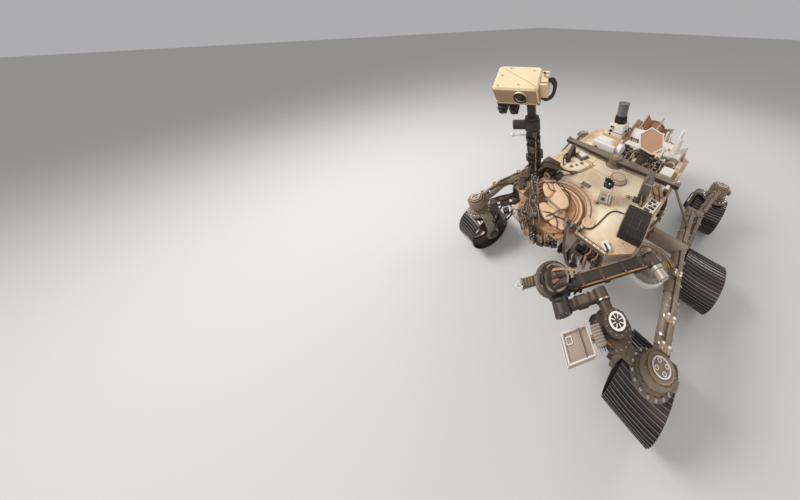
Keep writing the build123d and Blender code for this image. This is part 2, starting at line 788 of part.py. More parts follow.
def arm_upper():
    """Upper arm: eye in the fork, banded tube, elbow with its round cap, and the ribbed drive beside it."""
    fork_inner = cheek_y - cheek_thickness / 2 - arm_gap
    drive_z = arm_z - elbow_drive_drop
    part = rod(cheek_radius - 2, arm_point(0, -fork_inner, arm_z), arm_point(0, fork_inner, arm_z))
    part += rod(lift_pin_radius, arm_point(0, -cheek_y - cheek_thickness / 2, arm_z),
                arm_point(0, cheek_y + cheek_thickness / 2 + arm_gap, arm_z))
    part += rod(upper_radius, arm_point(20, 0, arm_z), arm_point(upper_length - 40, 0, arm_z))
    for share in (0.2, 0.52, 0.82):
        along = upper_length * share
        part += rod(upper_radius + upper_ring, arm_point(along - upper_ring_width / 2, 0, arm_z),
                    arm_point(along + upper_ring_width / 2, 0, arm_z))
    cap_across = -elbow_radius / 2
    part += rod(elbow_body_radius, arm_point(upper_length, cap_across * 1.35, arm_z),
                arm_point(upper_length, elbow_half, arm_z))
    part += rod(elbow_radius, arm_point(upper_length, cap_across, arm_z + elbow_cap_low),
                arm_point(upper_length, cap_across, arm_z + elbow_cap_high))
    start = upper_length - elbow_drive_back
    end = upper_length + elbow_drive_ahead
    part += rod(elbow_drive_radius, arm_point(start, elbow_drive_y, drive_z),
                arm_point(end, elbow_drive_y, drive_z))
    pitch = (end - start - 4 * elbow_drive_rib) / elbow_drive_rib_count
    for index in range(elbow_drive_rib_count):
        along = start + 2 * elbow_drive_rib + (index + 0.5) * pitch
        part += rod(elbow_drive_radius + elbow_drive_rib,
                    arm_point(along - elbow_drive_rib, elbow_drive_y, drive_z),
                    arm_point(along + elbow_drive_rib, elbow_drive_y, drive_z))
    part += arm_block(elbow_body_radius, elbow_saddle_width, elbow_drive_radius,
                      upper_length - elbow_drive_radius, -elbow_body_radius, drive_z)
    return bored(part, elbow_pin_radius + shaft_play, arm_point(upper_length, -elbow_pin_depth, arm_z),
                 arm_point(upper_length, elbow_half + elbow_end_gap, arm_z))


def arm_forearm():
    """Forearm: elbow eye and pin, tube with a sleeve, and the wrist's drum."""
    pin_start = arm_gap - elbow_pin_depth
    part = rod(elbow_pin_radius, arm_point(upper_length, pin_start, arm_z),
               arm_point(upper_length, fore_offset, arm_z))
    part += rod(fore_eye_radius, arm_point(upper_length, elbow_half + elbow_end_gap, arm_z),
                arm_point(upper_length, fore_offset + fore_half, arm_z))
    part += rod(fore_radius, arm_point(upper_length - 20, fore_offset, arm_z),
                arm_point(wrist_at + 20, fore_offset, arm_z))
    middle = wrist_at + fore_length / 2
    part += rod(fore_radius + fore_sleeve, arm_point(middle - sleeve_length / 3, fore_offset, arm_z),
                arm_point(middle + sleeve_length / 3, fore_offset, arm_z))
    part += rod(wrist_radius, arm_point(wrist_at, fore_offset - fore_half, arm_z),
                arm_point(wrist_at, fore_offset + fore_radius, arm_z))
    return bored(part, wrist_pin_radius + shaft_play,
                 arm_point(wrist_at, fore_offset - wrist_pin_depth, arm_z),
                 arm_point(wrist_at, fore_offset + wrist_radius, arm_z))


def arm_wrist():
    """Wrist: pin in the forearm's drum and the neck out to the turret's boss."""
    neck_start = fore_offset + fore_radius + arm_gap
    pin_start = fore_offset - wrist_pin_depth + arm_gap
    part = rod(wrist_pin_radius, arm_point(wrist_at, pin_start, arm_z),
               arm_point(wrist_at, neck_start, arm_z))
    part += rod(wrist_neck_radius, arm_point(wrist_at, neck_start, arm_z),
                arm_point(wrist_at, turret_offset - wrist_neck_radius, arm_z))
    part += rod(wrist_boss_radius, arm_point(wrist_at, turret_offset, arm_z - wrist_boss_half),
                arm_point(wrist_at, turret_offset, arm_z + wrist_boss_half))
    return bored(part, turret_pin_radius + shaft_play,
                 arm_point(wrist_at, turret_offset, arm_z - wrist_boss_radius),
                 arm_point(wrist_at, turret_offset, arm_z + wrist_boss_radius))


plate_top_z = arm_z - wrist_boss_half - arm_gap
plate_under_z = plate_top_z - turret_plate_height


def turret_rod(radius, along, across, low, high):
    """Upright cylinder at a place measured from the turret's axis."""
    return rod(radius, arm_point(wrist_at + along, turret_offset + across, low),
               arm_point(wrist_at + along, turret_offset + across, high))


def turret_hub():
    """Turret's spindle with a plate above and below the wrist's boss, and the ring on top."""
    top_z = arm_z + wrist_boss_half + arm_gap
    ring_z = top_z + turret_ring_height
    part = turret_rod(turret_pin_radius, 0, 0, plate_under_z, top_z)
    part += turret_rod(turret_top_radius, 0, 0, top_z, ring_z)
    part += turret_rod(turret_plate_radius, 0, 0, plate_under_z, plate_top_z)
    part += turret_rod(turret_ring_radius, 0, 0, ring_z, ring_z + turret_ring_height)
    return part - turret_rod(turret_ring_inner, 0, 0, ring_z - arm_gap / 2, ring_z + turret_ring_height + 1)


def framed_box():
    """Instrument box beyond the turret's plate, with a raised rail round its top and a bar across it."""
    centre = turret_offset + arm_gap
    along = wrist_at + framed_ahead
    low_z = plate_under_z - framed_height
    part = arm_block(framed_length, framed_width, framed_height - frame_rail_height, along, centre,
                     low_z + (framed_height - frame_rail_height) / 2)
    rails = arm_block(framed_length, framed_width, 2 * frame_rail_height, along, centre, plate_under_z)
    rails -= arm_block(framed_length - 2 * frame_rail, framed_width - 2 * frame_rail, 3 * frame_rail_height,
                       along, centre, plate_under_z)
    rails += arm_block(frame_rail, framed_width - frame_rail, 2 * frame_rail_height,
                       along - framed_length / 6, centre, plate_under_z)
    neck_end = wrist_at + framed_ahead - framed_length / 2
    neck_start = wrist_at + turret_plate_radius * 0.6
    part += rails - arm_block(framed_length * 2, framed_width * 2, frame_rail_height * 2, along, centre,
                              plate_under_z + frame_rail_height)
    part += arm_block(neck_end - neck_start + frame_rail, framed_width * 0.24, framed_height / 3,
                      (neck_start + neck_end) / 2, centre, plate_under_z - framed_height / 6)
    return part


def turret_tools():
    """Under and beside the plate: the ribbed box, the drill with its chuck and the dark housing."""
    along = wrist_at + ribbed_ahead
    across = turret_offset + ribbed_across
    middle_z = plate_under_z - ribbed_height / 2
    ribbed = arm_block(ribbed_length, ribbed_width, ribbed_height, along, across, middle_z)
    for index in range(rib_count):
        step = (index + 0.5) / rib_count - 0.5
        ribbed += arm_block(ribbed_length + 2 * rib_rise, ribbed_width / rib_count / 2,
                            ribbed_height - 2 * rib_rise,
                            along, across + step * ribbed_width, middle_z - rib_rise)
    nose_z = plate_under_z - drill_length
    chuck_z = nose_z - drill_nose_length
    drill = turret_rod(drill_radius, -drill_back, drill_across, nose_z, plate_under_z)
    drill += turret_rod(drill_nose_radius, -drill_back, drill_across, chuck_z, nose_z)
    drill -= turret_rod(chuck_radius, -drill_back, drill_across, chuck_z - 1, chuck_z + chuck_depth)
    housing = arm_block(housing_length, housing_width, housing_height, wrist_at - housing_back,
                        turret_offset + housing_across, plate_under_z - housing_height / 2)
    return Compound(children=[ribbed, drill, housing])


def mast_rod(radius, low, high):
    """Upright cylinder on the mast's axis."""
    return rod(radius, (mast_x, mast_y, low), (mast_x, mast_y, high))


def mast_base():
    """Foot of the mast on the deck's starboard front corner, with its side drum."""
    foot = Cone(mast_foot_radius, mast_foot_radius * 0.74, mast_base_height, align=upright)
    foot = Pos(mast_x, mast_y, deck_z) * foot
    drum_y = mast_y + mast_foot_radius / 2
    drum_z = deck_z + mast_base_height / 2
    drum_end_x = mast_x - 1.6 * mast_foot_radius
    side_drum = rod(mast_tube_radius, (drum_end_x, drum_y, drum_z), (mast_x, drum_y, drum_z))
    return foot + side_drum


def mast_column():
    """Tube with bands, widening to the pan drum."""
    low = deck_z + mast_base_height
    drum_low = mast_top_z - pan_drum_height
    part = mast_rod(mast_tube_radius, low, drum_low) + mast_rod(pan_drum_radius, drum_low, mast_top_z)
    for index in range(3):
        height = low + index * mast_band_pitch
        part += mast_rod(mast_tube_radius + mast_band, height, height + mast_band_width)
    return part - mast_rod(pan_pin_radius + shaft_play, mast_top_z - pan_pin_depth, mast_top_z + 1)


def mast_neck():
    """Panning neck: pin, disc, post and the drum of the tilt joint."""
    disc_z = mast_top_z + arm_gap
    post_low = disc_z + neck_disc_height
    post = block(neck_depth, neck_width, tilt_z - neck_drum_radius / 2 - post_low, 0, 0,
                 (tilt_z - neck_drum_radius / 2 + post_low) / 2)
    drum = rod(neck_drum_radius, (0, -neck_drum_half, tilt_z), (0, neck_drum_half, tilt_z))
    bore = rod(tilt_pin_radius + shaft_play, (0, -neck_width, tilt_z), (0, neck_width, tilt_z))
    pin = mast_rod(pan_pin_radius, mast_top_z - pan_pin_depth + arm_gap / 2, disc_z)
    disc = mast_rod(pan_drum_radius - 8, disc_z, post_low)
    return pin + disc + Pos(mast_x, mast_y, 0) * Rot(0, 0, head_pan_deg) * (post + drum - bore)


def head_place(shape):
    """Turn a head piece, made about the tilt axis and looking along X, to its pose on the mast."""
    return Pos(mast_x, mast_y, tilt_z) * Rot(0, 0, head_pan_deg) * Rot(0, head_tilt_deg, 0) * shape


head_front = head_ahead + head_length / 2


def mast_head():
    """Camera head: bevelled box, second box on its port side, big lens, the tilt's cheeks and pin."""
    lift = head_lift + head_height / 2
    box = block(head_length, head_width, head_height, head_ahead, head_aside, lift)
    box = chamfer(box.edges().filter_by(Axis.Z), 2.5 * box_bevel)
    box = chamfer(box.faces().sort_by(Axis.Z)[-1].edges(), 1.5 * box_bevel)
    side_box = block(head_length * 0.62, head_width * 0.16, head_height * 0.8,
                     head_ahead - head_length * 0.08, head_aside + head_width * 0.58, lift)
    lens_z = lift + box_bevel
    lens_y = head_aside + head_lens_y
    lens_x = head_front + head_lens_depth
    lens = rod(head_lens_radius, (head_front, lens_y, lens_z), (lens_x, lens_y, lens_z))
    lens -= rod(head_lens_radius * 0.78, (head_front + box_bevel, lens_y, lens_z),
                (lens_x + 1, lens_y, lens_z))
    pin_half = neck_width + box_bevel
    part = box + side_box + lens + rod(tilt_pin_radius, (0, -pin_half, 0), (0, pin_half, 0))
    cheek_centre = neck_drum_half + arm_gap + cheek_thickness / 2
    cheek_width = cheek_thickness * 0.8
    for across in (-cheek_centre, cheek_centre):
        part += block(2 * neck_drum_radius, cheek_width, 2 * cheek_radius, 0, across, cheek_width)
    return head_place(part)


def head_cameras():
    """Pair of cameras slung under the head's front, with the bar that holds them."""
    bar_height = cheek_thickness
    bar_z = head_lift - bar_height / 2
    camera_z = bar_z - bar_height / 2 - camera_height / 2
    x = head_front - head_ahead
    nose = x + camera_length / 2
    bar_width = 2 * camera_spread + camera_width
    part = block(camera_bar_depth, bar_width, bar_height, x, camera_aside, bar_z)
    for side in (-1, 1):
        y = camera_aside + side * camera_spread
        part += block(camera_length, camera_width, camera_height, x, y, camera_z)
        part += rod(camera_width / 3, (nose, y, camera_z), (nose + tilt_pin_radius, y, camera_z))
    return head_place(part)


def mast_booms():
    """Two thin sensor booms with their tips, on the mast's column."""
    # Direction of each boom in degrees, and its height as a share of the mast's.
    rows = ((-50.0, 0.75), (-140.0, 0.66))
    parts = []
    for angle, share in rows:
        turn = math.radians(angle)
        height = deck_z + share * mast_height
        near = mast_tube_radius + seat_gap
        far = mast_tube_radius + boom_length
        start = (mast_x + near * math.cos(turn), mast_y + near * math.sin(turn), height)
        end = (mast_x + far * math.cos(turn), mast_y + far * math.sin(turn), height)
        parts.append(rod(boom_radius, start, end) + Pos(*end) * Sphere(boom_tip_radius))
    return Compound(children=parts)


def dish_frame(shape):
    """Turn a dish piece, made about the tilt axis and facing along X, to its pose."""
    return Pos(dish_x, dish_y, dish_z) * Rot(0, 0, dish_azimuth_deg) * Rot(0, -dish_tilt_deg, 0) * shape


dish_post_top_z = deck_z + dish_base_height


def dish_rod(radius, low, high):
    """Upright cylinder on the dish's azimuth axis."""
    return rod(radius, (dish_x, dish_y, low), (dish_x, dish_y, high))


def dish_base():
    """Turned post of the dish on the deck, bored for the yoke's pin."""
    post = Cone(dish_base_radius, dish_drum_radius - 4, dish_base_height, align=upright)
    bore_low = dish_post_top_z - dish_post_pin_depth
    bore = dish_rod(dish_post_pin_radius + shaft_play, bore_low, dish_post_top_z + 1)
    return Pos(dish_x, dish_y, deck_z) * post - bore


def dish_yoke():
    """Azimuth drum and fork under the dish."""
    low = dish_post_top_z + arm_gap
    drum_top = low + dish_drum_height
    pin = dish_rod(dish_post_pin_radius, dish_post_top_z - dish_post_pin_depth + 4, low)
    drum = dish_rod(dish_drum_radius, low, drum_top)
    half = dish_cheek_thickness / 2
    fork = block(60, 2 * dish_cheek_y + dish_cheek_thickness, dish_cheek_thickness, 0, 0, drum_top)
    for across in (-dish_cheek_y, dish_cheek_y):
        fork += block(50, dish_cheek_thickness, dish_z - drum_top, 0, across, (dish_z + drum_top) / 2)
        fork += rod(25, (0, across - half, dish_z), (0, across + half, dish_z))
    reach = dish_cheek_y + dish_cheek_thickness
    fork -= rod(dish_pin_radius + shaft_play, (0, -reach, dish_z), (0, reach, dish_z))
    return pin + drum + Pos(dish_x, dish_y, 0) * Rot(0, 0, dish_azimuth_deg) * fork


def dish_face():
    """Flat six-sided dish with a shallow tray in its face, a stepped back and its tilt eye."""
    rim = dish_flats / math.sqrt(3)
    plate = extrude(RegularPolygon(rim, 6), dish_thickness)
    plate -= Pos(0, 0, dish_thickness - 4) * extrude(RegularPolygon(rim - box_bevel, 6), dish_thickness)
    plate = Pos(dish_offset, 0, 0) * Rot(0, 90, 0) * plate
    back = Rot(0, 90, 0) * Cone(dish_back_radius * 0.65, dish_back_radius, dish_back_depth)
    back = Pos(dish_offset - dish_back_depth / 2, 0, 0) * back
    eye = rod(26, (0, -30, 0), (0, 30, 0)) + block(56, 50, 44, 26, 0, 0)
    reach = dish_cheek_y + dish_cheek_thickness / 2
    pin = rod(dish_pin_radius, (0, -reach, 0), (0, reach, 0))
    return dish_frame(plate + back + eye + pin)


def drum_antenna():
    """Upright ribbed drum antenna on four splayed legs, standing on its box."""
    box_top = deck_z + whip_box_height
    plate_z = box_top + whip_plate / 2
    top_z = whip_base_z + whip_height
    foot_spread = whip_leg_spread * 1.4
    part = rod(whip_radius, (0, 0, whip_base_z), (0, 0, top_z))
    part += rod(whip_radius + whip_leg_radius, (0, 0, whip_base_z - 2 * whip_plate), (0, 0, whip_base_z))
    part += rod(whip_radius + whip_plate / 2, (0, 0, top_z - whip_plate), (0, 0, top_z))
    for x, y in ((1, 1), (1, -1), (-1, 1), (-1, -1)):
        part += rod(whip_leg_radius, (x * whip_leg_spread, y * whip_leg_spread, whip_base_z - whip_plate),
                    (x * foot_spread, y * foot_spread, plate_z))
    return Pos(whip_x, whip_y, 0) * (part + block(whip_box_size, whip_box_size, whip_plate, 0, 0, plate_z))


def power_place(shape):
    """Tip a power source piece, made along X about its centre, to its pose behind the body."""
    return Pos(power_x, 0, power_z) * Rot(0, power_tilt_deg, 0) * shape


def power_source():
    """Finned generator: core, eight long fins and a ring at each end."""
    half = power_length / 2
    part = rod(power_core_radius, (-half, 0, 0), (half, 0, 0))
    for end in (-half, half):
        part += rod(power_core_radius + power_fin_thickness, (end * 0.94, 0, 0), (end, 0, 0))
    fin_length = power_length - 2 * power_fin_inset
    fin_height = power_fin_reach - power_core_radius + power_fin_thickness
    for index in range(power_fin_count):
        fin = block(fin_length, power_fin_thickness, fin_height, 0, 0, power_fin_reach - fin_height / 2)
        part += Rot(360.0 * (index + 0.5) / power_fin_count, 0, 0) * fin
    return power_place(part)


def power_cradle():
    """Round mount between the body's rear wall and the power source's front end."""
    half = power_length / 2
    mount = power_place(rod(cradle_radius, (half, 0, 0), (half + power_length, 0, 0)))
    ring = power_place(rod(cradle_ring_radius, (half, 0, 0), (half + cradle_ring_width, 0, 0)))
    wall = block(2 * power_length, power_length, 2 * power_length, body_rear_x + power_length, 0, power_z)
    return mount + ring - wall


def side_panels():
    """White panels each side of the power source, edge on to the body's rear wall."""
    low_z = body_bottom_z + belly_cut
    rear = body_rear_x - panel_reach
    under_deck_z = deck_z - 2 * deck_thickness
    behind_lip_x = body_rear_x - 2 * deck_lip
    top_front_x = body_rear_x - panel_reach * 0.3
    top_rear_x = body_rear_x - panel_reach * 0.62
    outline = [
        (body_rear_x, low_z), (body_rear_x, under_deck_z), (behind_lip_x, under_deck_z),
        (behind_lip_x, deck_z), (top_front_x, panel_top_z), (top_rear_x, panel_top_z),
        (rear, deck_z), (rear, low_z + panel_reach * 0.2), (rear + panel_reach * 0.2, low_z),
    ]
    face = Plane.XZ * make_face(Polyline(*outline, close=True))
    panel = extrude(face, panel_thickness / 2, both=True)
    y = panel_y_share * body_half_width
    return Compound(children=[Pos(0, side * y, 0) * panel for side in (1, -1)])


def deck_place(back_share, side_share):
    """Point on the deck, given as shares of the body's length behind the front and of its half width."""
    return body_front_x - back_share * body_length, side_share * body_half_width


def deck_box(back_share, side_share, x_size, y_size, height, turn):
    """Box with bevelled upper edges that stands on the deck."""
    x, y = deck_place(back_share, side_share)
    box = block(x_size, y_size, height, x, y, deck_z + height / 2, turn)
    return chamfer(box.faces().sort_by(Axis.Z)[-1].edges(), box_bevel)


def deck_sensors():
    """Sensor box, oval drum and pillar on the port half of the deck."""
    box = deck_box(0.26, 0.34, sensor_size, sensor_size, sensor_height, 18)
    pillar = deck_box(0.4, 0.75, pillar_size, pillar_size, pillar_height, 8)
    drum_x, drum_y = deck_place(0.457, 0.27)
    drum = Pos(drum_x, drum_y, deck_z) * Cone(oval_radius, oval_radius * 0.9, oval_height, align=upright)
    return Compound(children=[box, pillar, drum])


def port_housing():
    """Dark faceted housing on the deck's port edge, its top tapered by a loft."""
    x, y = deck_place(0.176, housing_side_share)
    place = Pos(x, y, deck_z) * Rot(0, 0, 8)
    low = place * Rectangle(housing_base_x, housing_base_y)
    middle = place * Pos(0, 0, housing_rise) * Rectangle(housing_base_x, housing_base_y)
    top = Rectangle(housing_base_x * housing_top_share, housing_base_y * housing_top_share)
    high = place * Pos(-housing_rise / 6, 0, 2 * housing_rise) * top
    return loft([low, middle], ruled=True) + loft([middle, high], ruled=True)


def rear_equipment():
    """Boxes and slanted tubes on the rear deck, and the drum antenna's box."""
    # Place behind the front edge and beside the middle as shares, size in X and Y, height.
    rows = (
        (0.711, -0.36, 250.0, 290.0, 160.0),
        (0.879, 0.02, 150.0, 210.0, 78.0),
        (0.913, 0.74, 200.0, 170.0, 84.0),
        (0.682, 0.84, 150.0, 120.0, 90.0),
    )
    pieces = [deck_box(*row, 0) for row in rows]
    whip_box = block(whip_box_size, whip_box_size, whip_box_height,
                     whip_x, whip_y, deck_z + whip_box_height / 2)
    x, y = deck_place(0.913, 0.74)
    pieces[2] += rod(slant_radius, (x, y, deck_z + slant_radius), (x - slant_back, y, deck_z + slant_height))
    return Compound(children=pieces + [whip_box])


def front_carousel():
    """Round tool magazine on the front face, starboard of the middle."""
    door_x = carousel_depth + carousel_door
    drum = rod(carousel_radius, (0, 0, 0), (carousel_depth, 0, 0))
    door = rod(carousel_radius * 0.66, (carousel_depth, 0, 0), (door_x, 0, 0))
    hub = rod(carousel_radius * 0.22, (door_x, 0, 0), (door_x + carousel_door, 0, 0))
    return Pos(body_front_x, carousel_y, carousel_z) * (drum + door + hub)


def hazard_cameras():
    """Boxed cameras with short tubes: four low on the front face and one at each rear corner."""
    # Face in X, direction the camera looks, place in Y as a share of the body's half width, height.
    front_z = body_bottom_z + front_eye_rise
    rear_z = body_bottom_z + rear_eye_rise
    rows = ((body_front_x, 1, -0.24, front_z), (body_front_x, 1, -0.1, front_z),
            (body_front_x, 1, 0.16, front_z), (body_front_x, 1, 0.31, front_z),
            (body_rear_x, -1, -0.82, rear_z), (body_rear_x, -1, 0.82, rear_z))
    pieces = []
    for face_x, look, y_share, height in rows:
        y = y_share * body_half_width
        tube_x = face_x + look * eye_depth
        camera = block(eye_depth, eye_size, eye_size, face_x + look * eye_depth / 2, y, height)
        camera += rod(eye_tube_radius, (tube_x, y, height), (tube_x + look * eye_tube_length, y, height))
        pieces.append(camera)
    return Compound(children=pieces)


def front_hoop():
    """Strip hoop from under the deck's front edge down to the belly, beside the bay."""
    high_z = deck_z - 60
    low_z = body_bottom_z + 80
    arc = ThreePointArc((body_front_x - 20, high_z), (body_front_x + hoop_reach, (high_z + low_z) / 2),
                        (body_front_x - 20, low_z))
    hoop = Pos(0, hoop_y, 0) * extrude(Plane.XZ * trace(arc, hoop_strip), hoop_width / 2, both=True)
    return hoop - block(hoop_reach, 2 * hoop_width, deck_z, body_front_x - hoop_reach / 2, hoop_y, deck_z)


def main():
    """Build and write every node."""
    os.makedirs("parts", exist_ok=True)
    # Name of the corner, side of the body, axle.
    corners = (("front_left", 1, front_axle_x), ("front_right", -1, front_axle_x),
               ("rear_left", 1, rear_axle_x), ("rear_right", -1, rear_axle_x))
    skin = wheel_skin()
    for name, side, x in corners:
        place = Pos(x, side * corner_track_y, 0)
        centre = place * Pos(0, 0, wheel_radius)
        save(centre * skin, f"tyre_{name}")
        save(centre * wheel_centre_parts(side), f"hub_{name}")
        save(centre * drive_actuator(side), f"drive_{name}")
        save(place * steering_bracket(side), f"bracket_{name}")
    middle_drives = []
    for name, side in (("middle_left", 1), ("middle_right", -1)):
        centre = Pos(middle_axle_x, side * middle_track_y, wheel_radius)
        save(centre * skin, f"tyre_{name}")
        save(centre * wheel_centre_parts(side), f"hub_{name}")
        middle_drives.append(centre * drive_actuator(side))
    save(Compound(children=middle_drives), "middle_drives")
    drums = [Pos(x, side * corner_track_y, 0) * steering_drum() for _, side, x in corners]
    save(Compound(children=drums), "steering_drums")
    for name, side in (("left", 1), ("right", -1)):
        save(rocker(side), f"rocker_{name}")
        save(bogie(side), f"bogie_{name}")
    singles = (
        (body_box, "body_box"), (top_deck, "top_deck"), (bay_cover, "bay_cover"),
        (differential, "differential_bar"), (differential_links, "differential_links"),
        (arm_base, "arm_base"), (arm_shoulder, "arm_shoulder"), (arm_upper, "arm_upper"),
        (arm_forearm, "arm_forearm"), (arm_wrist, "arm_wrist"), (turret_hub, "turret_hub"),
        (framed_box, "turret_framed_box"), (turret_tools, "turret_tools"),
        (mast_base, "mast_base"), (mast_column, "mast_column"), (mast_neck, "mast_neck"),
        (mast_head, "mast_head"), (head_cameras, "head_cameras"), (mast_booms, "mast_booms"),
        (dish_base, "dish_base"), (dish_yoke, "dish_yoke"), (dish_face, "dish_face"),
        (drum_antenna, "drum_antenna"), (power_source, "power_source"), (power_cradle, "power_cradle"),
        (side_panels, "side_panels"), (deck_sensors, "deck_sensors"), (port_housing, "port_housing"),
        (rear_equipment, "rear_equipment"), (front_carousel, "front_carousel"),
        (hazard_cameras, "hazard_cameras"), (front_hoop, "front_hoop"),
    )
    for make, name in singles:
        save(make(), name)


main()
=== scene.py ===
"""Looks of a six-wheeled Mars rover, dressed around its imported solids.

Each sub-assembly is a class that holds its own sizes, makes its pieces and rides them on their bodies.
All lengths are metres in the shared frame: X ahead, Y to port, Z up.
"""

from __future__ import annotations

import json
import logging
import math
import random
from dataclasses import dataclass, field
from enum import Enum
from itertools import product
from typing import Sequence

import bmesh
import bpy
from mathutils import Matrix, Vector

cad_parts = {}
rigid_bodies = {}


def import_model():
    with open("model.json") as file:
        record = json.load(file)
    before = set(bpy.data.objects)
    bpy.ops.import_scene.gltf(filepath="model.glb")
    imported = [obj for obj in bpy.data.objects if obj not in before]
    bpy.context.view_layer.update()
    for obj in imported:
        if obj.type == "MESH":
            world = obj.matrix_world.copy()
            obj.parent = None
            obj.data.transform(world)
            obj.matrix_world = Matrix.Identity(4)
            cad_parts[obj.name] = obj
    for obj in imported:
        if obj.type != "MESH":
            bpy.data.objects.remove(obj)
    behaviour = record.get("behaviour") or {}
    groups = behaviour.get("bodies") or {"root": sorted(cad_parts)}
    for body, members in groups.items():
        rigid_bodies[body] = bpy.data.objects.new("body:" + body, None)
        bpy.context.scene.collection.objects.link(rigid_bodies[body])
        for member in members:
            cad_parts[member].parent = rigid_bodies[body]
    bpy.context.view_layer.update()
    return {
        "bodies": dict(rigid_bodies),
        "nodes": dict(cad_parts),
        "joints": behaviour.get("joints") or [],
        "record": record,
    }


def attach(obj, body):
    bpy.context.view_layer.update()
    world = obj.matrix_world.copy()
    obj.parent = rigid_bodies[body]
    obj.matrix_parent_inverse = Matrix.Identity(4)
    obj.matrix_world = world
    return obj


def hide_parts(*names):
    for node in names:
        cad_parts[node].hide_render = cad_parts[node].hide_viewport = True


log = logging.getLogger("rover")
Point = Sequence[float]
Colour = tuple[float, float, float]
Outline = Sequence[tuple[float, float]]
Frame = dict[str, object]


@dataclass
class Graph:
    """Node tree of one material."""

    name: str
    material: bpy.types.Material = field(init=False)

    def __post_init__(self) -> None:
        """Make the material with an empty tree."""
        self.material = bpy.data.materials.new(self.name)
        self.material.use_nodes = True
        self.material.node_tree.nodes.clear()

    def node(self, kind: str, settings: dict[str, object] | None = None,
            sockets: dict[str | int, object] | None = None) -> bpy.types.Node:
        """Add one node.

        Args:
            kind: The node's type, such as ShaderNodeTexNoise.
            settings: Attributes, which are set before the sockets.
            sockets: Values or fields for the inputs, by name or by place.

        Returns:
            The node.
        """
        made = self.material.node_tree.nodes.new(kind)
        for key, value in (settings or {}).items():
            setattr(made, key, value)
        for key, value in (sockets or {}).items():
            target = made.inputs[key]
            if isinstance(value, Field):
                self.material.node_tree.links.new(value.socket, target)
            else:
                target.default_value = value
        return made

    def field(self, made: bpy.types.Node, output: str | int = 0) -> "Field":
        """Wrap one of a node's outputs."""
        return Field(self, made.outputs[output])

    def place(self) -> "Field":
        """Surface point in the part's own frame."""
        return self.field(self.node("ShaderNodeTexCoord"), "Object")

    def noise(self, scale: float, detail: float = 4.0, roughness: float = 0.55) -> "Field":
        """Fractal noise between 0 and 1 over the part's own frame.

        Args:
            scale: Waves in a metre.
            detail: Number of finer layers.
            roughness: Weight of the finer layers.

        Returns:
            The noise.
        """
        sockets = {"Vector": self.place(), "Scale": scale, "Detail": detail, "Roughness": roughness}
        made = self.node("ShaderNodeTexNoise", None, sockets)
        return self.field(made, "Fac")

    def upward(self) -> "Field":
        """How far the surface faces the sky at rest, from -1 to 1."""
        normal = self.field(self.node("ShaderNodeTexCoord"), "Normal")
        return self.field(self.node("ShaderNodeSeparateXYZ", None, {0: normal}), "Z")

    def mix(self, share: "Field | float", first: "Field | Colour", second: "Field | Colour") -> "Field":
        """Colour between two colours.

        Args:
            share: Share of the second, from 0 to 1.
            first: Colour at 0.
            second: Colour at 1.

        Returns:
            The mixed colour.
        """
        first, second = (end if isinstance(end, Field) else (*end, 1) for end in (first, second))
        made = self.node("ShaderNodeMix", {"data_type": "RGBA"}, {0: share, 6: first, 7: second})
        return self.field(made, 2)

    def bump(self, height: "Field", strength: float, distance: float) -> "Field":
        """Normal roughened by a height.

        Args:
            height: Height of the surface.
            strength: Share of the full effect.
            distance: Height in metres that 1 stands for.

        Returns:
            The normal.
        """
        made = self.node("ShaderNodeBump", None,
            {"Height": height, "Strength": strength, "Distance": distance})
        return self.field(made)

    def surface(self, sockets: dict[str, object]) -> bpy.types.Material:
        """Close the tree with the main shader.

        Args:
            sockets: Values or fields for the shader's inputs.

        Returns:
            The finished material.
        """
        shader = self.node("ShaderNodeBsdfPrincipled", None, sockets)
        self.node("ShaderNodeOutputMaterial", None, {"Surface": self.field(shader)})
        return self.material


@dataclass(frozen=True)
class Field:
    """One output socket, with arithmetic that adds its own Math nodes."""

    graph: Graph
    socket: bpy.types.NodeSocket

    def _math(self, operation: str, first: "Field | float", second: "Field | float",
            clamp: bool = False) -> "Field":
        """Add one Math node.

        Args:
            operation: Name of the operation.
            first: Left side.
            second: Right side.
            clamp: Whether the result is held between 0 and 1.

        Returns:
            The result.
        """
        made = self.graph.node("ShaderNodeMath", {"operation": operation, "use_clamp": clamp},
            {0: first, 1: second})
        return self.graph.field(made)

    def __add__(self, other: "Field | float") -> "Field":
        """Sum."""
        return self._math("ADD", self, other)

    def __radd__(self, other: float) -> "Field":
        """Sum with a number first."""
        return self._math("ADD", other, self)

    def __sub__(self, other: "Field | float") -> "Field":
        """Difference."""
        return self._math("SUBTRACT", self, other)

    def __rsub__(self, other: float) -> "Field":
        """Difference with a number first."""
        return self._math("SUBTRACT", other, self)

    def __mul__(self, other: "Field | float") -> "Field":
        """Product."""
        return self._math("MULTIPLY", self, other)

    def __rmul__(self, other: float) -> "Field":
        """Product with a number first."""
        return self._math("MULTIPLY", other, self)

    def clamped(self) -> "Field":
        """The same field held between 0 and 1."""
        return self._math("ADD", self, 0.0, clamp=True)

    def above(self, edge: float, softness: float) -> "Field":
        """Smooth step from 0 to 1 as the field passes an edge.

        Args:
            edge: Value in the step's middle.
            softness: Half of the step's width.

        Returns:
            The step.
        """
        made = self.graph.node("ShaderNodeMapRange", {"interpolation_type": "SMOOTHSTEP"}, {"Value": self,
            "From Min": edge - softness, "From Max": edge + softness})
        return self.graph.field(made)


UP: Point = (0, 0, 1)
AHEAD: Point = (1, 0, 0)
PORT: Point = (0, 1, 0)
BOX_SIDES = [(0, 1, 2, 3), (4, 5, 6, 7), (0, 1, 5, 4), (1, 2, 6, 5), (2, 3, 7, 6), (3, 0, 4, 7)]
RED_DUST: Colour = (0.5, 0.27, 0.155)
DARK_SPECK: Colour = (0.3, 0.16, 0.09)
DULL_DUST = 0.92
SHARP_DEG = 38


